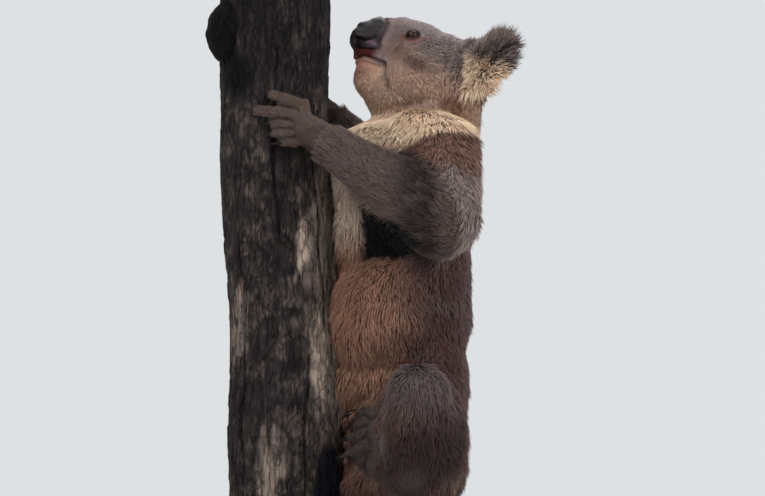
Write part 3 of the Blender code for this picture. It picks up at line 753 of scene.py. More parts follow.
def toe_paths(name):
    """Root, middle joint, last joint and tip of each toe, and its radius."""
    paths = []
    for root, tip, radius in TOES:
        start, last = from_ankle(name, root), from_ankle(name, tip)
        middle = start * 0.45 + last * 0.55 + (0.002, SIDE_SIGN[name] * 0.0035, 0.001)
        end = last + inward(last) * TOE_REACH - (0.0, 0.0, TOE_DROOP)
        paths.append(([start, middle, last, end], radius))
    return paths


def add_capsules(bm, path, radii):
    """Balls and cones along a path."""
    for place, radius in zip(path, radii):
        matrix = Matrix.Translation(place.tolist())
        bmesh.ops.create_uvsphere(bm, u_segments=14, v_segments=8, radius=radius, matrix=matrix)
    for start, end, wide, narrow in zip(path, path[1:], radii, radii[1:]):
        line = Vector((end - start).tolist())
        matrix = Matrix.Translation(((start + end) / 2.0).tolist())
        matrix = matrix @ line.to_track_quat("Z", "Y").to_matrix().to_4x4()
        shape = dict(segments=14, radius1=wide, radius2=narrow, depth=line.length)
        bmesh.ops.create_cone(bm, cap_ends=True, matrix=matrix, **shape)


def add_hands_and_feet(bm):
    """Hands and feet with separate digits, a little slimmer than the solids to leave room for hair."""
    for name in SIDES:
        foot = [from_ankle(name, place) for place in (HEEL, SOLE, INSTEP)]
        add_capsules(bm, [np.array(ARM_JOINTS[name][2]), palm_of(name)], PALM_RADII)
        for path, radius in finger_paths(name):
            add_capsules(bm, path, [radius + more for more in FINGER_MORE])
        add_capsules(bm, foot, FOOT_RADII)
        for path, radius in toe_paths(name):
            add_capsules(bm, path, [radius + more for more in TOE_MORE])


def near_digits(points):
    """Points of the hands and feet."""
    found = np.zeros(len(points), bool)
    for name in SIDES:
        wrist = np.array(ARM_JOINTS[name][2])
        ankle = from_ankle(name, INSTEP)
        found |= (lengths(points - wrist) < HAND_REACH) & (points[:, 0] < wrist[0])
        found |= (lengths(points - ankle) < FOOT_REACH) & (points[:, 0] < ankle[0] + 0.004)
    return found


def flesh_solid():
    """The flesh, the nose and the eyes as one closed mesh: fine on face, ears, hands and feet."""
    bm = bmesh.new()
    for node in (*flesh_nodes(), "nose", "eye_left", "eye_right"):
        if not node.startswith("hand"):
            bm.from_mesh(NODES[node].data)
    bmesh.ops.remove_doubles(bm, verts=bm.verts, dist=2e-5)
    bm.normal_update()
    moves = [vert.normal * OVERLAP for vert in bm.verts]
    for vert, move in zip(bm.verts, moves):
        vert.co += move
    add_hands_and_feet(bm)
    obj = largest_island(remeshed(object_of(bm, "skin"), VOXEL))
    points = points_of(obj.data)
    digits = near_digits(points).astype(float)
    fair(obj.data, 22, digits * 0.72)
    refine(obj, near_features)
    points = points_of(obj.data)
    spots = head_of(points)
    ears = (np.abs(spots[:, 2]) > 56.0) & (points[:, 2] > 0.57)
    fine = near_face(points) | near_digits(points) | ears
    body = obj.vertex_groups.new(name="body")
    body.add(np.flatnonzero(~fine).tolist(), 1.0, "REPLACE")
    triangles = triangles_of(obj.data)
    coarse = int((~fine[triangles]).all(axis=1).sum())
    collapse = obj.modifiers.new("Decimate", "DECIMATE")
    collapse.vertex_group = body.name
    collapse.ratio = 1.0 - max(0, coarse - BODY_FACES) / len(triangles)
    frozen(obj)
    obj.vertex_groups.clear()
    return obj


# From under the nose round to the corner of the mouth, on the left side of the head
MOUTH = np.array((
    (79.0, -36.0, 0.0), (77.5, -36.5, 8.0), (73.6, -34.3, 18.0), (65.5, -32.9, 22.4),
    (57.5, -31.6, 24.0), (50.3, -30.2, 24.6),
))
# From that corner down the side of the chin
CHIN_FOLD = np.array((
    (49.0, -31.5, 24.6), (46.0, -37.0, 25.5), (41.0, -44.0, 30.0), (37.0, -51.0, 34.0),
))
# The edge of the nose pad, folded on to the left: how far up and how far to the side
PAD_EDGE = np.array((
    (17.6, 0.0), (15.8, 6.0), (12.5, 12.0), (6.0, 17.5), (-3.0, 21.5), (-12.0, 25.0), (-19.0, 27.5),
    (-24.0, 25.5), (-27.5, 17.0), (-29.0, 0.0),
))
PAD_MIDDLE_UP = -7.0
PAD_REAR = np.array((  # up, ahead
    (-26.0, 67.5), (-22.0, 65.0), (-18.0, 65.6), (-12.0, 68.2), (-5.0, 69.4), (3.0, 69.6), (9.0, 70.2),
    (16.0, 74.0),
))
PAD_LOW = np.array((  # ahead, up
    (62.0, -20.6), (67.0, -23.4), (76.0, -26.7), (84.0, -28.2), (95.0, -29.2),
))
NOSTRIL = np.array(((87.5, -20.5, 9.5), (82.0, -20.0, 15.0), (76.0, -16.5, 19.5), (73.5, -11.5, 20.0)))
# Painted shade, near black, inside the nostrils
NOSTRIL_SHADE = (0.003, 0.001, 0.003)
PAD_SINK, PAD_THICK = 0.0012, 0.0028


def ahead_of_rear(spots):
    """Millimetres ahead of the pad's rear edge."""
    return spots[:, 0] - read_off(PAD_REAR, spots[:, 1])


def pad_depth(spots):
    """Millimetres inside the edge of the nose pad; negative outside."""
    spots = mirrored(spots)
    up, beside = spots[:, 1] - PAD_MIDDLE_UP, spots[:, 2]
    edge = PAD_EDGE - (PAD_MIDDLE_UP, 0.0)
    turn = np.arctan2(beside, up)
    limit = np.interp(turn, np.arctan2(edge[:, 1], edge[:, 0]), np.hypot(edge[:, 0], edge[:, 1]))
    depth = np.minimum(limit - np.hypot(up, beside), ahead_of_rear(spots))
    return np.minimum(depth, spots[:, 1] - read_off(PAD_LOW, spots[:, 0]))


def mirrored(spots):
    """Head coordinates with both sides folded on to the left."""
    return spots * np.array((1.0, 1.0, 0.0)) + np.abs(spots) * np.array((0.0, 0.0, 1.0))


def near_face(points):
    spots = head_of(points)
    return (lengths(spots - MUZZLE) < FACE_DETAIL) & (spots[:, 0] > 18.0)


def near_features(points):
    spots = mirrored(head_of(points))
    eye = lengths(spots - EYE) < 17.0
    lips = off_path(spots, MOUTH)[0] < 7.0
    return eye | lips | (pad_depth(spots) > -2.5)


def region_shares(points, edges):
    """How far each point belongs to each region, blended across their borders."""
    corners, triangles, labels = [], [], []
    for node, region in flesh_nodes().items():
        found = triangles_of(NODES[node].data)
        triangles.append(found + sum(len(block) for block in corners))
        corners.append(points_of(NODES[node].data))
        labels += [REGIONS.index(region)] * len(found)
    tree = BVHTree.FromPolygons(np.vstack(corners).tolist(), np.vstack(triangles).tolist())
    labels = np.array(labels)
    nearest = np.array([tree.find_nearest(point)[2] for point in points.tolist()])
    shares = np.zeros((len(points), len(REGIONS)))
    shares[np.arange(len(points)), labels[nearest]] = 1.0
    return relaxed(shares, edges, 14)


def face_nearness(spots):
    """1 at the nose pad, falling to 0 at the back of the cheeks."""
    distance = lengths((spots - (82.0, -14.0, 0.0)) * (1.0, 1.0, 0.9))
    return 1.0 - ease(14.0, 88.0, distance)


def coat_fields(points, shares, settings):
    """The coat's length, width, lifts, spacing and locks at each point of the skin."""
    table = np.array([COAT[region] for region in REGIONS])
    fields = shares @ table / np.maximum(shares.sum(axis=1), 1e-9)[:, None]
    spots = head_of(points)
    head = share_of(shares, "head")
    near = face_nearness(spots) * ease(0.3, 0.8, head)
    for column, less in ((LENGTH, 0.80), (WIDTH, 0.52), (LIFT, 0.30), (AREA, 0.62), (LOCK, 0.40)):
        fields[:, column] *= 1.0 - less * near ** 0.55
    crown = ease(0.4, 0.9, head) * ease(5.0, 25.0, spots[:, 1])
    throat = ease(0.3, 0.8, head) * ease(-30.0, -55.0, spots[:, 1]) * ease(50.0, 10.0, spots[:, 0])
    eye = lengths(mirrored(spots) - EYE)
    length = fields[:, LENGTH]
    length *= 1.0 - 0.25 * crown
    length *= 1.0 + 0.35 * throat
    length *= 0.45 + 0.55 * ease(8.0, 17.0, eye)
    for sign in (-1.0, 1.0):
        centre, _, root = ear_frame(sign)
        inner = ease(0.000, -0.020, (points - centre) @ unit(centre - root))
        inner = inner * (points[:, 1] * sign > 0.0)
        length *= 1.0 - 0.55 * inner * share_of(shares, "ear")
    length *= 1.0 + 0.15 * low_front(points) * share_of(shares, "torso")
    length *= settings.length
    fields[:, LENGTH] = relaxed(length, made["edges"], 6)
    return fields


def low_front(points):
    """1 on the groin and lower belly between the feet, where the body leans on the trunk."""
    share = ease(0.41, 0.30, points[:, 2]) * ease(0.100, 0.078, points[:, 0])
    for name in SIDES:
        for path, radius in toe_paths(name):
            for start, end in zip(path, path[1:]):
                share *= ease(0.006, 0.018, off_segment(points, start, end)[0] - radius)
    return share


def coat_height(fields):
    """How far the tips of the tufts stand above the skin."""
    lifts = np.radians(fields[:, LIFT:TIP_LIFT + 1])
    return fields[:, LENGTH] * (np.sin(lifts[:, 0]) + np.sin(lifts[:, 1])) / 2.0 / 1000.0


def ear_frame(side):
    """Middle of the ear, the way it faces, and its root.  side is 1 on the right."""
    mirror = np.array((1.0, 1.0, -side))
    facing = unit(turn_from_head(EAR_FACING * mirror))
    return from_head(EAR * mirror), facing, from_head(EAR_ROOT * mirror)


def thin_ears(points, shares):
    """Draws the solid ears in to a pinna that long hair can stand on."""
    share = ease(0.35, 1.0, share_of(shares, "ear"))[:, None]
    for side in (-1.0, 1.0):
        here = share * (points[:, 1:2] * side > 0.0)
        centre, facing, _ = ear_frame(side)
        offset = points - centre
        depth = (offset @ facing)[:, None] * facing
        across = offset - depth
        slim = centre + across * 0.80 + depth * 0.42
        points = points + (slim - points) * here
    return points


def socket_frame(side):
    """Middle of the eye and its gaze, ahead and up directions.  side is 1 on the left."""
    mirror = np.array((1.0, 1.0, side))
    gaze = unit(turn_from_head(EYE_GAZE * mirror))
    ahead = unit(HEAD_FORWARD - gaze * (HEAD_FORWARD @ gaze))
    up = np.cross(ahead, gaze)
    return from_head(EYE * mirror), gaze, ahead, up if up @ HEAD_UP > 0.0 else -up


def eye_view(points, side, face):
    """Where points are as the eye sees them: 1 at the rim of its opening, and axes in metres."""
    centre, gaze, ahead, up = socket_frame(side)
    offset = points - centre
    x, y, z = offset @ ahead, offset @ up, offset @ gaze
    slant = y + 0.22 * x
    height = np.where(slant > 0.0, face.lid_height, face.lid_height * 0.92)
    ring = np.sqrt((x / face.lid_width) ** 2 + (slant / height) ** 2)
    return np.where(z > -0.004, ring, 99.0), offset, slant, z


def open_lids(points, face):
    """Sinks a shallow socket, wraps the skin over the eyeballs as two thick lids and opens them."""
    for side in (-1.0, 1.0):
        gaze = socket_frame(side)[1]
        ring, offset, _, z = eye_view(points, side, face)
        out = np.sqrt(np.maximum((offset * offset).sum(axis=1) - z * z, 0.0))
        rise = SOCKET_RIM + SOCKET_SLOPE * np.maximum(out - 0.009, 0.0) - 0.5 * face.eye_radius
        over = np.maximum(z - rise, 0.0) * (1.0 - ease(0.016, 0.024, out)) * (ring < 90.0)
        points = points - gaze * over[:, None]
    for side in (-1.0, 1.0):
        centre = socket_frame(side)[0]
        ring, offset, slant, z = eye_view(points, side, face)
        way = unit(offset)
        near = (lengths(offset) < 0.022) & (z > -0.001)
        behind = centre + way * (face.eye_radius - 0.0014)
        thickness = face.eye_radius + 0.0008 + 0.0005 * (slant > 0.0)
        lid = centre + way * thickness[:, None]
        shaped = behind + (lid - behind) * ease(0.92, 1.10, ring)[:, None]
        shaped = shaped + (points - shaped) * ease(1.30, 2.5, ring)[:, None]
        fold = hill(ring, 1.60, 0.15) * 0.0006
        shaped = shaped - way * fold[:, None]
        points = np.where(near[:, None], shaped, points)
    return points


def hollow_armpits(points, shares):
    """Deepens the shadowed hollow between the raised elbow and the flank."""
    torso = share_of(shares, "torso")
    for name, sign in SIDE_SIGN.items():
        elbow = ARM_JOINTS[name][1]
        middle = np.array((elbow[0] - 0.050, sign * 0.070, elbow[2] - 0.022))
        deep = spot(points, middle, (0.034, 0.034, 0.018)) * torso
        points = points + deep[:, None] * np.array((0.004, -sign * 0.010, 0.0))
    return points


def shape_mouth(points, normals):
    """The slit of the mouth, rolled lips, the groove under the nose and the folds of the chin."""
    spots = mirrored(head_of(points))
    ahead, up, beside = spots.T
    distance, share = off_path(spots, MOUTH)
    above = up - read_off(MOUTH[::-1], ahead)
    fade = 1.0 - ease(0.80, 1.0, share) * 0.6
    move = -0.0019 * hill(distance, 0.0, 1.3) * fade
    move += 0.0009 * hill(distance, 3.2, 1.6) * fade * (above > 0.0)
    move += 0.0007 * hill(distance, 3.0, 1.6) * fade * (above <= 0.0)
    parting = hill(beside, 0.0, 1.1) * ease(-36.0, -33.0, up) * ease(-24.0, -28.0, up)
    move -= 0.0010 * parting * (ahead > 60.0)
    crease, along = off_path(spots, CHIN_FOLD)
    move -= 0.0024 * hill(crease, 0.0, 2.8) * (1.0 - 0.6 * along)
    return points + normals * move[:, None]


def build_skin(coat, face):
    """The whole skin, with what the coat needs to know kept in made."""
    obj = flesh_solid()
    mesh = obj.data
    spots = head_of(points_of(mesh))
    outside = 1.0 - ease(60.0, 50.0, lengths(spots - MUZZLE))
    fair(mesh, 8, outside)
    x, y, z = points_of(mesh).T
    belly = ease(0.160, 0.120, x) * ease(0.190, 0.240, z) * ease(0.440, 0.400, z)
    belly *= ease(0.085, 0.060, np.abs(y))
    fair(mesh, 50, belly * ~near_digits(points_of(mesh)))
    edges = edges_of(mesh)
    made["edges"] = edges
    outline = points_of(mesh)
    spots = head_of(outline)
    bridge = ease(56.0, 68.0, spots[:, 0]) * ease(-8.0, 4.0, spots[:, 1]) * BRIDGE_LOWER
    outline = outline - HEAD_UP * bridge[:, None]
    put_points(mesh, outline)
    made["flesh"] = mesh.copy()
    tree = BVHTree.FromPolygons(outline.tolist(), [tuple(face.vertices) for face in mesh.polygons])
    opening = [tree.find_nearest(Vector(point))[0] for point in from_head(NOSTRIL).tolist()]
    made["nostril"] = head_of(np.array(opening))
    shares = region_shares(outline, edges)
    fields = coat_fields(outline, shares, coat)
    depth = relaxed(coat_height(fields) + OVERLAP, edges, 4)
    ear = ease(0.2, 0.7, share_of(shares, "ear"))
    depth *= 1.0 - np.maximum(ear, low_front(outline))
    normals = relaxed(normals_of(mesh), edges, 6)
    points = thin_ears(outline - unit(normals) * depth[:, None], shares)
    points = hollow_armpits(points, shares)
    bed = 0.0014 * ease(-0.4, 1.6, pad_depth(head_of(outline)))
    bed += 0.0075 * hill(off_path(mirrored(head_of(outline)), made["nostril"])[0], 0.0, 5.0)
    points = relaxed(points - unit(normals) * bed[:, None], edges, 3)
    put_points(mesh, points)
    points = shape_mouth(points, normals_of(mesh))
    points = open_lids(points, face)
    put_points(mesh, points)
    made.update(points=points, shares=shares, fields=fields, outline=outline)
    return obj


def log_axis(height):
    share = ease(LEAN_START, LEAN_START + LEAN_RISE, height)
    zero = np.zeros_like(share)
    return np.stack([LOG_LEAN * share, zero], axis=-1)


def log_radius(angle, height):
    """The trunk's plain radius, fluted and lumpy by a few millimetres."""
    share = (height - LOG_BOTTOM) / (LOG_TOP - LOG_BOTTOM)
    plain = LOG_RADIUS_BOTTOM + (LOG_RADIUS_TOP - LOG_RADIUS_BOTTOM) * share
    flutes = 0.0011 * np.sin(3.0 * angle + 9.0 * height)
    flutes += 0.0008 * np.sin(5.0 * angle - 14.0 * height)
    return plain + flutes + 0.0008 * np.sin(31.0 * height)


def off_log(points):
    """Distance from the bark, and the level direction away from the trunk's middle."""
    out = points[:, :2] - log_axis(points[:, 2])
    far = lengths(out)
    angle = np.arctan2(out[:, 1], out[:, 0])
    away = np.concatenate([out / np.maximum(far, 1e-9)[:, None], np.zeros((len(out), 1))], axis=1)
    return far - log_radius(angle, points[:, 2]), away


def digits_near(points, paths):
    """The way along the nearest digit, and how much of a groove between two digits it is."""
    best, second = np.full(len(points), np.inf), np.full(len(points), np.inf)
    ways, reach = np.zeros_like(points), np.zeros(len(points))
    for path, _ in paths:
        lines = np.array([unit(end - start) for start, end in zip(path, path[1:])])
        least, number, along = nearest_piece(points, path)
        nearest = least < best
        second = np.where(nearest, best, np.minimum(second, least))
        best = np.where(nearest, least, best)
        ways[nearest] = lines[number[nearest]]
        reach[nearest] = (number + along)[nearest]
    groove = ease(0.24, 0.05, (second - best) / (second + best + 1e-9)) * ease(0.4, 1.1, reach)
    return ways, groove


def lie_of_coat(points, normals, shares):
    """The way the coat lies at each point of the skin."""
    low_head = ease(10.0, -45.0, head_of(points)[:, 1])
    from_nose = unit(points - from_head((104.0, 4.0, 0.0)))
    ways = [
        ("torso", np.tile((0.06, 0.0, -1.0), (len(points), 1)), 1.0),
        ("neck", unit(points - HEAD_CENTRE) * 0.6 + (0.05, 0.0, -1.0), 1.0),
        ("head", from_nose + np.outer(low_head, (0.1, 0.0, -0.5)), 1.0),
    ]
    for name, side in SIDE_SIGN.items():
        here = points[:, 1] * side > 0.0
        shoulder, elbow, wrist = (np.array(joint) for joint in ARM_JOINTS[name])
        centre, _, root = ear_frame(side)
        ways += [
            ("ear", unit(points - root) * 0.8 + unit(points - centre), here),
            ("upper_arm", np.tile(elbow - shoulder, (len(points), 1)) + (0.0, 0.0, -0.04), here),
            ("forearm", np.tile(wrist - elbow, (len(points), 1)), here),
            ("hand", digits_near(points, finger_paths(name))[0], here),
            ("leg", points - (np.array(LEG_JOINTS[name][1]) + (0.0, 0.0, 0.035)), here),
            ("foot", digits_near(points, toe_paths(name))[0], here),
        ]
    flow = np.zeros_like(points)
    for region, way, where in ways:
        flow = flow + unit(way) * (share_of(shares, region) * where)[:, None]
    flow = relaxed(unit(flow), made["edges"], 16)
    flow -= normals * (flow * normals).sum(axis=1)[:, None]
    return unit(flow)


# ---- Markings
# Edges seen from the side, as pairs of place along the body and height
RUFF_EDGE = np.array((
    (0.060, 0.530), (0.080, 0.526), (0.118, 0.511), (0.140, 0.522), (0.160, 0.531), (0.190, 0.531),
))
# The upper edge of the painted shade under the elbow
ARMPIT_SHADE_EDGE = np.array((
    (0.080, 0.448), (0.096, 0.437), (0.118, 0.426), (0.134, 0.412), (0.148, 0.402), (0.180, 0.399),
))
INSIDE_LIP, MOUTH_LINE = (0.074, 0.015, 0.013), (0.050, 0.012, 0.010)


def body_markings(points, share, coat):
    """Dark grizzled flanks and back, warm belly, pale chest, spotted rump; then shoulders and limbs,
    with painted light on arms and legs and painted shade between the digits and under the elbows.
    """
    x, y, z = points.T
    folded = np.stack([x, np.abs(y), z], axis=1)
    belly = ease(0.145, 0.098, x + 0.010 * cloud(points, 0.020, 52)) * ease(0.10, 0.30, z)
    bands = cloud(points, (0.060, 0.060, 0.010), 53)
    rump = ease(0.215, 0.150, z) * ease(0.08, 0.14, x)
    shoulder = spot(folded, (0.150, 0.095, 0.500), (0.060, 0.060, 0.045)) * 1.4
    upper = share["upper_arm"] * ease(0.520, 0.475, z)
    forearm = np.clip(share["forearm"] * 1.2, 0.0, 1.0)
    # Painted light: the far forearm lighter towards the wrist
    painted_far_arm_light = (y > 0.0) * ease(0.490, 0.510, z) * ease(0.020, 0.045, x)
    mottled = ease(-0.1, 0.6, cloud(points, (0.012, 0.012, 0.007), 54))
    # A painted highlight low on each leg, over the shin
    painted_leg_highlight = spot(folded, (0.102, 0.100, 0.214), (0.006, 0.030, 0.016))
    tint = layered(
        np.tile(coat.dark * (0.86, 0.76, 0.80), (len(points), 1)),
        (coat.tan * (0.90, 0.93, 0.98), belly * 0.95),
        (coat.grey * 0.55, ease(0.0, 0.8, bands) * (1.0 - belly) * 0.35),
        (coat.grey * 0.62, ease(0.160, 0.200, x) * 0.6),
        (coat.cream * (0.66, 0.70, 0.80), ease(0.115, 0.080, x) * ease(0.405, 0.440, z) * 0.9),
        (coat.cream * 0.42, rump * ease(0.0, 0.5, cloud(points, 0.020, 51)) * 0.55),
        (coat.russet * 0.92, np.clip(shoulder, 0.0, 1.0)),
        # Painted rim light: the back of each upper arm lighter, where light catches its edge
        (coat.grey * 1.2, upper * ease(0.138, 0.166, x)),
        (coat.dark * 0.34, upper * ease(0.168, 0.140, x)),
        (coat.grey * (0.475, 0.42, 0.40), forearm),
        (coat.dark * 0.23, forearm * ease(0.105, 0.135, x) * ease(0.168, 0.150, x) * 0.9),
        # Painted light on the far forearm
        (coat.grey * 0.75, share["forearm"] * painted_far_arm_light * 0.7),
        (coat.grey * 0.52, forearm * mottled * 0.35),
        (coat.grey * (0.44, 0.39, 0.34), share["hand"]),
        (coat.grey * (0.52, 0.50, 0.52), share["leg"] * ease(0.215, 0.265, z)),
        (coat.dark * 0.30, share["leg"] * ease(0.262, 0.212, z) * 0.85),
        (coat.grey * 0.24, share["foot"] * 0.9),
        # Painted highlight on the leg
        (coat.grey * 0.75, painted_leg_highlight * share["leg"] * 0.8),
    )
    for name, sign in SIDE_SIGN.items():
        own = y * sign > 0.0
        for limb, paths in (("hand", finger_paths(name)), ("foot", toe_paths(name))):
            groove = digits_near(points, paths)[1]
            # Painted shade in the grooves between the digits
            tint = mix(tint, coat.dark * 0.12, groove * share[limb] * own * 0.8)

    # Painted shade: near black in the hollow under each raised elbow
    for name, sign in SIDE_SIGN.items():
        lower = points - (0.0, 0.0, ARM_JOINTS[name][1][2] - ARM_JOINTS["left"][1][2])
        hidden = lower - np.outer(share["torso"], (0.0, 0.0, 0.020))
        armpit_shade = ease(0.003, -0.003, hidden[:, 2] - read_off(ARMPIT_SHADE_EDGE, hidden[:, 0]))
        armpit_shade = armpit_shade * ease(0.399, 0.406, lower[:, 2])
        armpit_shade = armpit_shade * ease(0.074, 0.084, x) * ease(0.176, 0.140, x) * ease(0.01, 0.03, y * sign)
        tint = mix(tint, coat.dark * 0.015, armpit_shade * (1.0 - share["leg"]))
    return tint


def face_markings(points, coat):
    """Grey crown, lighter and bluer above the brows by painted top light, pale cheeks, the dark patches
    round eye and nose, and painted shade along the chin fold.
    """
    spots = head_of(points)
    side = mirrored(spots)
    ahead, up, _ = side.T
    dusk = np.clip(1.3 * spot(side, (28.0, -20.0, 54.0), (14.0, 6.5, 26.0)), 0.0, 1.0)
    edge = hill(pad_depth(spots), -0.5, 2.6)
    return layered(
        np.tile(coat.grey, (len(points), 1)),
        (coat.buff * (1.0, 1.03, 1.08), ease(2.0, -24.0, up) * ease(58.0, 40.0, ahead)),
        # Painted top light: the crown lighter and bluer above the brows
        (coat.grey * (1.30, 1.36, 1.48), ease(10.0, 28.0, up) * ease(66.0, 54.0, ahead)),
        (coat.tan * 0.60, spot(side, (51.0, -14.0, 33.0), (14.0, 9.0, 22.0)) * 0.8),
        (coat.dark * 0.60, dusk * 0.70),
        (coat.dark * 1.10, spot(side, (56.0, 6.0, 16.0), (11.0, 14.0, 14.0)) * 0.5),
        (coat.dark * 0.35, edge * ease(-26.0, -18.0, up) * 0.85),
        (coat.buff * 1.05, ease(40.0, 52.0, ahead) * ease(-30.0, -38.0, up)),
        (coat.cream * 0.95, ease(-60.0, -80.0, up) * ease(50.0, 20.0, ahead)),
        # Painted shade along the crease of the chin fold
        (coat.dark * 0.8, hill(off_path(side, CHIN_FOLD)[0], 0.0, 3.4) * 0.75),
    )


def markings(points, shares, coat, face):
    """The coat's colour at each point; skin and tufts both wear it."""
    names = ("grey", "dark", "russet", "tan", "cream", "buff")
    coat = SimpleNamespace(**{name: np.array(getattr(coat, name)) for name in names})
    lip = np.array(face.lip)
    share = {region: share_of(shares, region) for region in REGIONS}
    x, y, z = points.T
    side = mirrored(head_of(points))
    tint = body_markings(points, share, coat)

    # Ruff, head and ears
    high = ease(-0.005, 0.005, z - read_off(RUFF_EDGE, x))
    trunk = np.clip(share["neck"] + share["torso"], 0.0, 1.0) * high
    ruff = trunk * ease(0.215, 0.185, x)
    head = ease(0.25, 0.75, share["head"])
    face_tint = face_markings(points, coat)
    tint = layered(
        tint,
        (coat.grey, trunk),
        (coat.buff * (0.95, 0.93, 0.88), ruff),
        (coat.cream * 1.14, ruff * ease(0.558, 0.547, z + 0.003 * cloud(points, 0.012, 55))),
        (face_tint, head),
        (face_tint, ease(0.1, 0.6, share["ear"])),
    )
    for sign in (-1.0, 1.0):
        centre, facing, root = ear_frame(sign)
        offset = points - centre
        out = unit(centre - root)
        front = ease(-0.002, 0.004, offset @ facing)
        inner = offset - out * 0.009 - HEAD_UP * 0.002
        apart = lengths(inner - np.outer(inner @ facing, facing))
        here = share["ear"] * (y * sign > 0.0) * ease(-0.021, -0.009, offset @ out)
        ear_tint = layered(
            np.tile(coat.grey * 0.7, (len(points), 1)),
            (coat.cream, np.maximum(ease(0.006, -0.012, offset @ HEAD_UP), front * 0.9)),
            (coat.dark * 1.0, front * ease(0.011, 0.004, apart) * 0.6),
            (coat.grey * (0.40, 0.40, 0.46), ease(-0.007, 0.001, offset @ HEAD_UP) * 0.85),
        )
        tint = mix(tint, ear_tint, ease(0.1, 0.6, here))

    # Painted shade in the fold before each ear's root; bare skin of lips, chin and lids, with a painted
    # highlight on the lower lip
    ahead, up, _ = side.T
    low = ease(-35.0, -37.0, up)
    chin = spot(side, (72.0, -46.0, 6.0), (13.0, 10.0, 22.0)) * low * head
    below = spot(side, (70.0, -40.0, 12.0), (16.0, 5.5, 16.0)) * low * head
    upper_lip = ease(-0.5, 1.0, up - read_off(MOUTH[::-1], ahead)) * ease(-20.0, -24.0, up)
    upper_lip = upper_lip * ease(60.0, 70.0, ahead)
    line = hill(off_path(side, MOUTH)[0], 0.0, 2.2) * head * ease(42.0, 50.0, ahead)
    tint = layered(
        tint,
        # Painted shade in the fold before the ear's root
        (coat.dark * 0.45, spot(side, (-16.0, 22.0, 58.0), (7.0, 7.0, 7.0)) * 0.8),
        (lip * 0.58, np.clip(chin * 1.3, 0.0, 1.0) * 0.75),
        # Bare lower lip, lightened by a painted highlight along it
        (lip * 1.05, np.clip(below * 1.3, 0.0, 1.0) * 0.7),
        (INSIDE_LIP, np.clip(upper_lip * head, 0.0, 1.0)),
        (MOUTH_LINE, line),
    )
    for sign in (-1.0, 1.0):
        ring, _, slant, _ = eye_view(points, sign, face)
        tint = mix(tint, lip * 0.55, hill(ring, 1.6, 1.0) * (slant < 0.0) * head)
        tint = mix(tint, coat.dark * 0.30, ease(1.6, 1.25, ring) * head)
    return np.clip(tint, 0.0, 1.0)


def bare_share(points, face):
    """1 on skin with no hair: lids, lips and the bed of the nose pad."""
    spots = mirrored(head_of(points))
    bare = (1.0 - ease(1.2, 2.6, off_path(spots, MOUTH)[0])) * (spots[:, 0] > 44.0)
    for side in (-1.0, 1.0):
        bare = np.maximum(bare, 1.0 - ease(1.25, 1.50, eye_view(points, side, face)[0]))
    return np.maximum(bare, ease(0.4, 1.8, pad_depth(spots)))


# ---- Coat
def scatter_roots(mesh, spacing, draw):
    """Corners, loops and corner weights of each tuft's root, spread evenly for its spacing."""
    verts, loops = triangles_of(mesh), triangles_of(mesh, "loops")
    first, second, third = points_of(mesh)[verts].transpose(1, 0, 2)
    area = lengths(np.cross(second - first, third - first)) * 0.5e6
    wanted = area / np.maximum(spacing[verts].mean(axis=1), 1e-3)
    total = np.cumsum(wanted)
    marks = np.arange(int(total[-1])) + 0.5
    marks += draw.uniform(-0.35, 0.35, len(marks))
    triangle = np.clip(np.searchsorted(total, marks), 0, len(verts) - 1)
    first, second = draw.random((2, len(marks)))
    over = first + second > 1.0
    first[over], second[over] = 1.0 - first[over], 1.0 - second[over]
    weights = np.stack([1.0 - first - second, first, second], axis=1)
    return verts[triangle], loops[triangle], weights


def carried(values, corners, weights):
    """Values of the skin's vertices at the roots."""
    return (values[corners] * weights[:, :, None]).sum(axis=1)


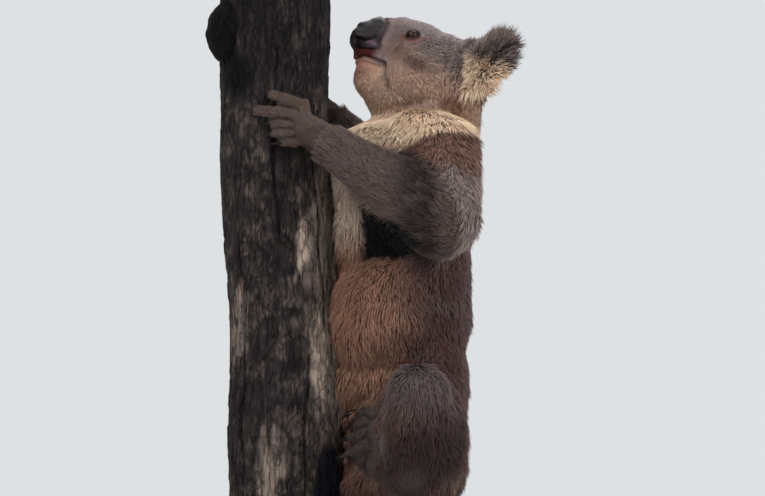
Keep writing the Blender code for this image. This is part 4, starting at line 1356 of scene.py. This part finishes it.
def tuft_mesh(name, tufts, bends):
    """Joined tufts: each is a thin three-sided blade with this many bends that ends in a point."""
    count = len(tufts["root"])
    lie, up, length = tufts["lie"], tufts["up"], tufts["length"][:, None]
    first, last = (
        lie * np.cos(tufts[lift])[:, None] + up * np.sin(tufts[lift])[:, None]
        for lift in ("lift", "tip_lift")
    )
    across = unit(np.cross(lie, up))
    rings = []
    shares = [index / (bends + 1) for index in range(bends + 1)]

    def spine(share):
        bent = first * (share - share * share / 2.0) + last * (share * share / 2.0)
        return tufts["root"] + bent * length + tufts["gather"] * share ** 1.6

    for share in shares:
        middle = spine(share)
        width = tufts["width"][:, None] * (1.0 - share) ** 0.55
        left, right, crest = -across * width / 2.0, across * width / 2.0, up * width * 0.35
        rings.append(np.stack([middle + left, middle + right, middle + crest], axis=1))
    points = np.concatenate([*rings, spine(1.0)[:, None, :]], axis=1)
    points = clear_of_solids(points.reshape(-1, 3)).reshape(points.shape)
    tip = points.shape[1] - 1
    quads, tris = [], [(0, 1, 2)]
    for a in range(0, bends * 3, 3):
        quads += [(a, a + 2, a + 5, a + 3), (a + 2, a + 1, a + 4, a + 5), (a + 1, a, a + 3, a + 4)]
    a = bends * 3
    tris += [(a, a + 2, tip), (a + 2, a + 1, tip), (a + 1, a, tip)]
    start = (np.arange(count) * (tip + 1))[:, None, None]
    corners = np.concatenate(
        [(start + np.array(faces)[None]).reshape(count, -1) for faces in (quads, tris)], axis=1
    ).ravel()
    sizes = np.tile([4] * len(quads) + [3] * len(tris), count)
    starts = np.concatenate([[0], np.cumsum(sizes)[:-1]])
    mesh = bpy.data.meshes.new(name)
    mesh.vertices.add(count * (tip + 1))
    mesh.loops.add(len(corners))
    mesh.polygons.add(len(sizes))
    mesh.vertices.foreach_set("co", points.astype(np.float32).ravel())
    mesh.loops.foreach_set("vertex_index", corners.astype(np.int32))
    mesh.polygons.foreach_set("loop_start", starts.astype(np.int32))
    mesh.update(calc_edges=True)

    along = np.array(np.repeat(shares, 3).tolist() + [1.0])
    level = along[None, :, None]
    tint = tufts["root_tint"][:, None, :] * (1.0 - level) + tufts["tip_tint"][:, None, :] * level
    paint(mesh, "tint", tint.reshape(-1, 3))
    beside = np.array([0.0, 1.0, 0.5] * (bends + 1) + [0.5])
    patch = np.stack([beside - 0.5, along - 0.5], axis=1) * UV_PATCH
    baked = tufts["uv"][:, None, :] + patch[None]
    strand = np.stack([beside, along], axis=1)[None] + tufts["dice"][:, None, None] * (37.0, 11.0)
    for layer, values in (("OFBake", baked), ("strand", strand)):
        values = values.reshape(-1, 2)[corners].astype(np.float32)
        mesh.uv_layers.new(name=layer).data.foreach_set("uv", values.ravel())
    return mesh


def clear_of_solids(points):
    """Moves what would go into the trunk or the eyeballs back out to their surface."""
    gap, away = off_log(points)
    high = (points[:, 2] > LOG_BOTTOM - 0.01) & (points[:, 2] < LOG_TOP + 0.01)
    push = np.where(high, np.maximum(BARK_CLEAR - gap, 0.0), 0.0)
    points = points + away * push[:, None]
    for side in (-1.0, 1.0):
        offset = points - socket_frame(side)[0]
        short = np.maximum(EYE_CLEAR - lengths(offset), 0.0)
        points = points + unit(offset) * short[:, None]
    return points


def coat_parts(shares, points):
    """A piece number for each root, so that no piece grows too large, and the pieces' names."""
    region = shares.argmax(axis=1)

    def among(*regions):
        return np.isin(region, [REGIONS.index(name) for name in regions])

    front, high = head_of(points)[:, 0] > CREST, points[:, 2] > WAIST
    parts = {
        "face": among("head") & front,
        "crown": among("head") & ~front,
        "ear": among("ear"),
        "shoulder": among("upper_arm"),
        "forearm": among("forearm", "hand"),
        "leg": among("leg", "foot"),
        "chest": among("neck") | among("torso") & high,
        "belly": among("torso") & ~high,
    }
    number, names = np.zeros(len(points), int), []
    for side, here in (("left", points[:, 1] < 0.0), ("right", points[:, 1] >= 0.0)):
        for part, chosen in parts.items():
            number[chosen & here] = len(names)
            names.append(f"coat_{part}_{side}")
    return number, names


def grow_coat(skin, coat, face):
    """Tufts all over the skin, in pieces."""
    draw = np.random.default_rng(SEED)
    mesh = skin.data
    points, shares, fields = made["points"], made["shares"], made["fields"]
    normals = unit(relaxed(normals_of(mesh), made["edges"], 2))
    lie = lie_of_coat(points, normals, shares)
    spacing = fields[:, AREA] / coat.fullness
    spacing = spacing * (1.0 + 1.5 * ease(0.004, 0.0015, off_log(points)[0]))
    spacing = spacing / np.maximum(1.0 - bare_share(points, face), 1e-4)
    uv = read(mesh.uv_layers["OFBake"].data, "uv", 2)

    corners, loops, weights = scatter_roots(mesh, spacing, draw)
    root, up, way, here, shared = (
        carried(values, corners, weights) for values in (points, normals, lie, fields, shares)
    )
    up, way = unit(up), unit(way)
    seeds, number = nearest_seed(root, here[:, LOCK] / 1000.0, SEED)
    wild = draw.random((4, len(root)))
    face_share = ease(0.3, 0.8, share_of(shared, "head")) * face_nearness(head_of(root))
    turn = (number - 0.5) * 0.75 + (wild[0] - 0.5) * 0.55
    turn *= 1.0 - 0.55 * face_share
    side = unit(np.cross(way, up))
    way = unit(way * np.cos(turn)[:, None] + side * np.sin(turn)[:, None])
    lock = [np.modf(number * step)[0] for step in (7.3, 3.7)]  # one random share for each lock
    length = here[:, LENGTH] / 1000.0 * (0.72 + 0.40 * wild[1]) * (0.86 + 0.28 * lock[0])
    pull = seeds - root
    pull -= up * (pull * up).sum(axis=1)[:, None]
    tone = 0.90 + 0.20 * wild[3] + 0.10 * cloud(root, 0.016, 5) + 0.16 * (lock[1] - 0.5)
    warm = 0.5 + 0.5 * cloud(root, (0.012, 0.012, 0.009), 9)
    warm = mix(np.ones((len(root), 3)), (1.05, 0.98, 0.93), warm)
    tint = markings(root, shared, coat, face) * tone[:, None] * warm
    dusk = 0.68 + 0.24 * np.maximum(face_share, ease(0.12, 0.40, tint.mean(axis=1)))
    tufts = {
        "root": root - up * 0.0006,
        "up": up,
        "lie": way,
        "lift": np.radians(here[:, LIFT]) * (0.75 + 0.5 * wild[2]),
        "tip_lift": np.radians(here[:, TIP_LIFT]) * (0.6 + 0.8 * wild[0]),
        "length": length,
        "width": here[:, WIDTH] / 1000.0 * (0.8 + 0.4 * wild[1]),
        "gather": pull * (here[:, GATHER] * coat.gather)[:, None],
        "root_tint": tint * dusk[:, None],
        "tip_tint": np.clip(tint * 1.16, 0.0, 1.0),
        "uv": (uv[loops] * weights[:, :, None]).sum(axis=1),
        "dice": wild[2],
    }
    part, names = coat_parts(shared, root)
    for index, name in enumerate(names):
        piece = {key: values[part == index] for key, values in tufts.items()}
        yield link(tuft_mesh(name, piece, 1), name)


# ---- Face, claws, bark
def build_nose(face):
    """The leathery pad that wraps the muzzle, with comma-shaped nostrils and a groove between them."""
    flesh = made["flesh"]
    kept = pad_depth(head_of(points_of(flesh))) > -1.4
    bm = bmesh.new()
    bm.from_mesh(flesh)
    bm.verts.ensure_lookup_table()
    bmesh.ops.delete(bm, geom=[v for v in bm.verts if not kept[v.index]], context="VERTS")
    obj = object_of(bm, "nose_pad")
    fair(obj.data, 3)
    points, normals = points_of(obj.data), normals_of(obj.data)
    spots = head_of(points)
    depth, rear = pad_depth(spots), ahead_of_rear(spots)
    side = mirrored(spots)
    distance, along = off_path(side, made["nostril"])
    wide = 2.9 - 1.5 * along
    move = 0.0003 + 0.0007 * ease(-0.2, 2.6, depth)
    move -= PAD_SINK * ease(0.2, -1.2, depth)
    move -= 0.0016 * ease(7.0, 0.0, rear)
    move -= face.nostril * np.exp(-((distance / wide) ** 4)) * (1.0 - 0.5 * along)
    move += 0.0013 * hill(distance, 4.6, 1.6) * ease(0.5, 3.0, depth)
    move -= 0.0010 * hill(spots[:, 2], 0.0, 1.5) * ease(-6.0, -16.0, spots[:, 1])
    move += 0.0003 * cloud(points, 0.0045, 21)
    put_points(obj.data, points + normals * move[:, None])
    # Painted highlight of wet skin on the lower rim of the nostrils
    wing = spot(side, (73.0, -19.5, 23.0), (5.5, 2.4, 8.0)) * ease(1.0, 2.6, distance)
    paint(obj.data, "tint", layered(
        np.tile(face.leather, (len(points), 1)),
        (face.pad_edge, ease(6.5, 0.0, rear) * ease(-16.0, 0.0, spots[:, 1]) * 0.8),
        (face.pad_wing_highlight, np.clip(wing * 1.4, 0.0, 1.0) * 0.8),
        # Painted shade inside the nostrils
        (NOSTRIL_SHADE, hill(distance, 0.0, 2.4)),
    ))
    solid = obj.modifiers.new("Thickness", "SOLIDIFY")
    solid.thickness = PAD_THICK
    solid.offset = -1.0
    return frozen(obj)


def build_eye(name, side, face):
    """An eyeball with a raised cornea, and a UV map across its gaze."""
    centre, gaze, ahead, up = socket_frame(side)
    bm = bmesh.new()
    bmesh.ops.create_uvsphere(bm, u_segments=64, v_segments=40, radius=1.0)
    places = np.array([vert.co[:] for vert in bm.verts])
    bulge = 1.0 + 0.07 * ease(0.72, 0.97, places[:, 2])
    world = centre + (places * bulge[:, None] * face.eye_radius) @ np.array((ahead, up, gaze))
    for vert, point in zip(bm.verts, world.tolist()):
        vert.co = point
    layer = bm.loops.layers.uv.new("gaze")
    flat = places[:, :2] * 1.25
    for bm_face in bm.faces:
        for loop in bm_face.loops:
            loop[layer].uv = flat[loop.vert.index]
    bmesh.ops.recalc_face_normals(bm, faces=bm.faces)
    return object_of(bm, name)


CLAW_STATIONS = (  # ahead and in, as shares of the claw's length, and its thickness
    (-0.35, 0.00, 0.90), (0.00, 0.00, 1.05), (0.22, 0.02, 1.02), (0.44, 0.07, 0.88),
    (0.64, 0.17, 0.68), (0.79, 0.30, 0.44), (0.88, 0.43, 0.22), (0.92, 0.52, 0.05),
)


def build_claws(name, limb, side):
    """Hooked claws, flattened at their sides, that leave the tips of the digits and grip the bark."""
    paths = finger_paths(side) if limb == "hand" else toe_paths(side)[1:]
    length = HAND_CLAW if limb == "hand" else FOOT_CLAW
    bm = bmesh.new()
    for path, _ in paths:
        root = path[-1]
        into, ahead = inward(root), unit(root - path[-2])
        if limb == "hand":
            ahead, hook = unit(ahead - into * (ahead @ into) * 0.8), into
        else:
            ahead, hook = unit(into + ahead * 0.3), unit(np.array((0.0, 0.0, -1.0)) + into * 0.3)
        beside = unit(np.cross(ahead, hook))
        rings = []
        for along, drop, thick in CLAW_STATIONS:
            middle = root + ahead * along * length + hook * drop * length
            radius = CLAW_RADIUS * thick
            rings.append([
                bm.verts.new((middle + beside * radius * CLAW_FLAT * math.cos(turn)
                              + np.cross(beside, ahead) * radius * math.sin(turn)).tolist())
                for turn in (math.tau * step / CLAW_SIDES for step in range(CLAW_SIDES))
            ])
        for lower, upper in zip(rings, rings[1:]):
            for step in range(CLAW_SIDES):
                after = (step + 1) % CLAW_SIDES
                bm.faces.new((lower[step], lower[after], upper[after], upper[step]))
        bm.faces.new(rings[0][::-1])
        bm.faces.new(rings[-1])
    bmesh.ops.recalc_face_normals(bm, faces=bm.faces)
    bmesh.ops.subdivide_edges(bm, edges=bm.edges, cuts=1, smooth=0.6, use_grid_fill=True)
    bmesh.ops.triangulate(bm, faces=[face for face in bm.faces if len(face.verts) > 4])
    return object_of(bm, name)


# Each long crack: angle round the trunk, its lowest and highest points, and its half-width in radians
CRACKS = (
    (-1.55, 0.410, 0.620, 0.030),
    (-2.35, 0.150, 0.430, 0.026),
    (-0.80, 0.330, 0.560, 0.022),
    (0.90, 0.120, 0.520, 0.030),
    (2.10, 0.260, 0.660, 0.028),
    (-1.15, 0.090, 0.300, 0.024),
)
# Each place where pale wood shows: its middle, radii and strength
SCARS = (
    ((0.018, -0.055, 0.412), (0.010, 0.030, 0.042), 0.55),
    ((0.036, -0.050, 0.300), (0.012, 0.030, 0.060), 0.50),
    ((0.056, -0.020, 0.330), (0.010, 0.026, 0.110), 0.45),
    ((0.052, -0.024, 0.440), (0.010, 0.024, 0.050), 0.25),
    ((-0.020, 0.058, 0.340), (0.022, 0.030, 0.080), 0.50),
    ((-0.055, 0.020, 0.250), (0.030, 0.020, 0.050), 0.50),
    ((-0.048, -0.036, 0.330), (0.014, 0.018, 0.050), 0.22),
    ((-0.014, -0.058, 0.185), (0.016, 0.018, 0.045), 0.28),
)


def bark_relief(angle, height, place, depth):
    """How far the bark stands above or below the trunk's plain radius."""
    ridges = cloud(place, (0.010, 0.010, 0.045), 31) + 0.6 * cloud(place, (0.005, 0.005, 0.018), 32)
    fine = cloud(place, (0.0024, 0.0024, 0.006), 33)
    plates = np.abs(cloud(place, (0.015, 0.015, 0.036), 34))
    broken = ease(-0.2, 0.5, cloud(place, 0.030, 35))
    relief = depth * (0.28 * ridges + 0.16 * fine - 0.45 * broken * np.exp(-((plates / 0.04) ** 2)))
    flakes = cloud(place, (0.009, 0.009, 0.016), 36)
    relief += depth * 0.30 * ease(0.15, 0.25, flakes)
    for crack_angle, low, high, width in CRACKS:
        wander = 0.045 * np.sin(23.0 * height) + 0.02 * np.sin(71.0 * height + 1.0)
        off = np.angle(np.exp(1j * (angle - crack_angle - wander)))
        long = ease(low - 0.02, low + 0.02, height) * ease(high + 0.02, high - 0.02, height)
        relief -= depth * 1.1 * long * np.exp(-((off / width) ** 2))
    return relief - depth * 0.15


def bark_tint(place, relief, perch):
    """Mottled weathered bark with pale scars, scorched at the top and on the burl, with painted shade
    in the hollow and the deep cracks and a painted shadow in one bluish strip low down.
    """
    bark, pale, char = (np.array(value) for value in (perch.bark, perch.pale, perch.char))
    broad = cloud(place, (0.030, 0.030, 0.060), 41)
    bent = place + 0.006 * np.stack([cloud(place, 0.012, 60 + axis) for axis in range(3)], axis=1)
    mottle = 0.7 * cloud(bent, (0.012, 0.012, 0.018), 44) + 0.6 * cloud(bent, (0.005, 0.005, 0.007), 45)
    mottle += 0.5 * cloud(place, (0.0022, 0.0022, 0.004), 48)
    worn = spot(place, (0.044, -0.050, 0.375), (0.020, 0.050, 0.165))
    tint = layered(
        np.tile(bark, (len(place), 1)) * (1.0 + 0.35 * broad)[:, None],
        (pale * 0.50, ease(0.1, 0.7, worn * (1.0 + 0.4 * mottle)) * 0.75),
        (pale * 0.27, ease(0.0, 1.1, mottle + 0.25 * broad) * 0.70),
        (char, ease(0.0, -1.0, mottle - 0.2 * broad) * 0.60),
        (char * 1.2, ease(0.560, 0.640, place[:, 2] + 0.03 * broad) * 0.60),
    )
    for middle, radii, strength in SCARS:
        ragged = spot(place, middle, radii) * (1.0 + 0.7 * cloud(place, (0.005, 0.005, 0.014), 42))
        ragged = ragged * (1.0 + 0.5 * cloud(place, (0.010, 0.010, 0.026), 47))
        tint = mix(tint, pale, np.clip(ease(0.25, 0.80, ragged) * strength * 1.6, 0.0, 1.0))
    tint = tint * (1.0 + 0.18 * cloud(place, (0.006, 0.006, 0.050), 43))[:, None]
    # Where the painted shadow between trunk and koala lies, low on the trunk
    strip = spot(place, (0.046, -0.042, 0.150), (0.016, 0.030, 0.062)) * (1.0 + 0.2 * mottle)
    hollow = spot(place, BARK_HOLLOW, (0.020, 0.026, 0.022))
    burl = spot(place, BURL_MIDDLE - (0.004, 0.0, 0.0), BURL_RADII * 1.15)
    return np.clip(layered(
        tint,
        # A painted shadow: the bluish near-black strip between trunk and koala
        (char * (0.4, 0.5, 1.2), ease(0.30, 0.45, strip) * 0.92),
        # Painted shade, near black, in the carved hollow; the burl painted dark char
        (char * 0.35, np.clip(hollow * 1.2 + ease(0.25, 0.5, burl), 0.0, 1.0) * 0.9),
        # Painted shade in the deep cracks and low places of the relief
        (char * 0.7, ease(-0.0008, -0.0030, relief) * 0.75),
    ), 0.0, 1.0)


def burl_reach(angle, height):
    """How far from the trunk's axis the burl's surface is in this direction, 0 where it isn't."""
    axis = log_axis(height)
    origin = np.concatenate([axis, height[:, None]], axis=1) - BURL_MIDDLE
    way = np.stack([np.cos(angle), np.sin(angle), np.zeros_like(angle)], axis=1)
    o, w = origin / BURL_RADII, way / BURL_RADII
    a, b, c = (w * w).sum(axis=1), 2.0 * (o * w).sum(axis=1), (o * o).sum(axis=1) - 1.0
    inside = b * b - 4.0 * a * c
    reach = (-b + np.sqrt(np.maximum(inside, 0.0))) / (2.0 * a)
    return np.where(inside > 0.0, np.maximum(reach, 0.0), 0.0)


def build_perch(perch):
    """The trunk: rough bark round its side, sawn flat at both ends."""
    sides, rings = perch.sides, perch.rings
    angle = np.tile(np.linspace(-math.pi, math.pi, sides, endpoint=False), rings)
    height = np.repeat(np.linspace(LOG_BOTTOM, LOG_TOP, rings), sides)
    plain, axis = log_radius(angle, height), log_axis(height)
    out = np.stack([np.cos(angle), np.sin(angle)], axis=1)
    place = np.concatenate([axis + out * plain[:, None], height[:, None]], axis=1)
    relief = bark_relief(angle, height, place, perch.ridge)
    relief = relief - 0.006 * spot(place, BARK_HOLLOW, (0.018, 0.026, 0.020))
    lump = burl_reach(angle, height) - 0.0012
    reach = plain + relief
    burl = np.clip(0.5 + 0.5 * (lump - reach) / BURL_SOFT, 0.0, 1.0)
    knobs = cloud(place, 0.009, 46) + 0.6 * cloud(place, 0.0045, 47)
    reach = reach * (1.0 - burl) + (lump - 0.0014 + relief * 0.5 + 0.0014 * knobs) * burl
    rim = ease(LOG_BOTTOM, LOG_BOTTOM + 0.003, height) * ease(LOG_TOP, LOG_TOP - 0.003, height)
    reach -= 0.0012 * (1.0 - rim)
    points = np.concatenate([axis + out * reach[:, None], height[:, None]], axis=1)
    index = np.arange(sides * rings).reshape(rings, sides)
    after = np.roll(index, -1, axis=1)
    faces = np.stack([index[:-1], after[:-1], after[1:], index[1:]], axis=-1)
    faces = faces.reshape(-1, 4).tolist()
    walls = len(faces)
    ends, start = [], len(points)
    for ring, towards in ((index[0], -1), (index[-1], 1)):
        rim_points = points[ring]
        middle = rim_points.mean(axis=0)
        for share in (0.75, 0.5, 0.25):
            level = middle + (rim_points - middle) * share
            level[:, 2] = rim_points[0, 2] + 0.0003 * cloud(level, 0.006, 61)
            ends.append(level)
            inner = np.arange(start, start + sides)
            band = np.stack([ring, np.roll(ring, -1), np.roll(inner, -1), inner], axis=-1)
            faces += band[:, ::towards].tolist()
            ring, start = inner, start + sides
        ends.append(middle[None])
        fan = np.stack([ring, np.roll(ring, -1), np.full(sides, start)], axis=-1)
        faces += fan[:, ::towards].tolist()
        start += 1
    mesh = bpy.data.meshes.new("perch_bark")
    everything = np.concatenate([points, *ends])
    mesh.from_pydata(everything.tolist(), [], faces)
    mesh.update()
    tint = np.full((len(everything), 3), 0.2)
    tint[: len(points)] = bark_tint(points, relief, perch)
    paint(mesh, "tint", tint)
    mesh.materials.append(bark_material())
    mesh.materials.append(end_grain_material())
    slots = (np.arange(len(faces)) >= walls).astype(np.int32)
    mesh.polygons.foreach_set("material_index", slots)
    return link(mesh, "perch_bark")


# ---- Operators
made = {}


class KOALA_OT_skin(bpy.types.Operator):
    """Makes the skin that lies under the coat, with lids, lips and folds"""

    bl_idname = "koala.skin"
    bl_label = "Skin"

    def execute(self, context):
        scene = context.scene
        skin = build_skin(scene.koala_coat, scene.koala_face)
        mesh = skin.data
        bpy.context.view_layer.objects.active = skin
        skin.select_set(True)
        bpy.ops.object.mode_set(mode="EDIT")
        bpy.ops.mesh.select_all(action="SELECT")
        bpy.ops.uv.smart_project(angle_limit=math.radians(66.0), island_margin=0.002)
        bpy.ops.object.mode_set(mode="OBJECT")
        mesh.uv_layers[0].name = "OFBake"
        tint = markings(made["points"], made["shares"], scene.koala_coat, scene.koala_face)
        bare = bare_share(made["points"], scene.koala_face)
        light = ease(0.12, 0.40, tint.mean(axis=1))
        paint(mesh, "tint", tint * (0.60 + 0.34 * np.maximum(bare, light))[:, None])
        finish_piece(skin, skin_material(), sorted(flesh_nodes()))
        made["skin"] = skin
        return {"FINISHED"}


class KOALA_OT_coat(bpy.types.Operator):
    """Grows the coat: tufts that follow its lie and gather into locks"""

    bl_idname = "koala.coat"
    bl_label = "Coat"

    def execute(self, context):
        scene = context.scene
        material = coat_material()
        for piece in grow_coat(made["skin"], scene.koala_coat, scene.koala_face):
            finish_piece(piece, material)
        return {"FINISHED"}


class KOALA_OT_face(bpy.types.Operator):
    """Makes the nose pad and the eyes"""

    bl_idname = "koala.face"
    bl_label = "Nose and eyes"

    def execute(self, context):
        face = context.scene.koala_face
        finish_piece(build_nose(face), nose_material(), ["nose"])
        material = eye_material(tuple(face.iris))
        for name, side in (("left", 1.0), ("right", -1.0)):
            eye = build_eye(f"eyeball_{name}", side, face)
            finish_piece(eye, material, [f"eye_{name}"])
        return {"FINISHED"}


class KOALA_OT_claws(bpy.types.Operator):
    """Makes the claws of hands and feet"""

    bl_idname = "koala.claws"
    bl_label = "Claws"

    def execute(self, context):
        material = claw_material()
        for limb in ("hand", "foot"):
            for side in SIDES:
                nodes = sorted(node for node in NODES if node.startswith(f"claw_{limb}_{side}"))
                piece = build_claws(f"claws_{limb}_{side}", limb, side)
                finish_piece(piece, material, nodes)
        return {"FINISHED"}


class KOALA_OT_perch(bpy.types.Operator):
    """Makes the bark of the perch and finishes the stand"""

    bl_idname = "koala.perch"
    bl_label = "Perch and stand"

    def execute(self, context):
        finish_piece(build_perch(context.scene.koala_perch), None, ["perch_log"])
        for node, material in (
            ("stand_base", board_material()),
            ("stand_rod_1", rod_material()),
            ("stand_rod_2", bpy.data.materials["stand_steel"]),
        ):
            NODES[node].data.materials.clear()
            NODES[node].data.materials.append(material)
        return {"FINISHED"}


def aimed(obj, place, at):
    obj.location = place
    obj.rotation_euler = (Vector(at) - Vector(place)).to_track_quat("-Z", "Y").to_euler()
    return obj


class KOALA_OT_stage(bpy.types.Operator):
    """Makes the floor, the soft studio light and the camera"""

    bl_idname = "koala.stage"
    bl_label = "Stage"

    def execute(self, context):
        scene = context.scene
        settings = scene.koala_stage
        bpy.ops.mesh.primitive_circle_add(
            vertices=96, radius=14.0, fill_type="NGON", location=(0, 0, -0.0004)
        )
        floor = context.active_object
        floor.name = "floor"
        floor.data.materials.append(floor_material())
        floor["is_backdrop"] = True
        world = bpy.data.worlds.new("studio")
        world.use_nodes = True
        surround = world.node_tree.nodes["Background"]
        surround.inputs["Color"].default_value = (0.86, 0.88, 0.90, 1.0)
        surround.inputs["Strength"].default_value = settings.sky
        scene.world = world
        for name, place, size, power in (
            ("key", (-1.2, -1.9, 2.6), 1.8, settings.key),
            ("fill", (2.4, -1.6, 1.2), 1.8, settings.fill),
            ("top", (0.6, 1.4, 2.8), 2.2, settings.key * 1.1),
        ):
            light = bpy.data.lights.new(name, "AREA")
            light.size = size
            light.energy = power
            aimed(link(light, name), place, LIGHT_AIM)
        camera = bpy.data.cameras.new("camera")
        camera.sensor_width = 36.0
        camera.lens = CAMERA_LENS
        camera.clip_start = 0.05
        scene.camera = aimed(link(camera, "camera"), CAMERA_PLACE, CAMERA_AIM)
        scene.view_settings.view_transform = "Standard"
        return {"FINISHED"}


STEPS = (
    KOALA_OT_skin,
    KOALA_OT_coat,
    KOALA_OT_face,
    KOALA_OT_claws,
    KOALA_OT_perch,
    KOALA_OT_stage,
)
GROUPS = {
    "koala_coat": KoalaCoatSettings,
    "koala_face": KoalaFaceSettings,
    "koala_perch": KoalaPerchSettings,
    "koala_stage": KoalaStageSettings,
}


class KOALA_PT_panel(bpy.types.Panel):
    """Lists the steps and their settings"""

    bl_idname = "KOALA_PT_panel"
    bl_label = "Koala"
    bl_space_type = "VIEW_3D"
    bl_region_type = "UI"
    bl_category = "Koala"

    def draw(self, context):
        for step in STEPS:
            self.layout.operator(step.bl_idname)
        for name, group in GROUPS.items():
            box = self.layout.box()
            for setting in group.__annotations__:
                box.prop(getattr(context.scene, name), setting)


def register():
    for group in GROUPS.values():
        bpy.utils.register_class(group)
    for name, group in GROUPS.items():
        setattr(bpy.types.Scene, name, PointerProperty(type=group))
    for step in (*STEPS, KOALA_PT_panel):
        bpy.utils.register_class(step)


def unregister():
    for step in (KOALA_PT_panel, *reversed(STEPS)):
        bpy.utils.unregister_class(step)
    for name in GROUPS:
        delattr(bpy.types.Scene, name)
    for group in GROUPS.values():
        bpy.utils.unregister_class(group)


def main():
    register()
    bpy.ops.koala.skin()
    bpy.ops.koala.coat()
    bpy.ops.koala.face()
    bpy.ops.koala.claws()
    bpy.ops.koala.perch()
    bpy.ops.koala.stage()
    corners = [list(corner) for corner in (*CAD_BOX, *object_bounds())]


if __name__ == "__main__":
    main()
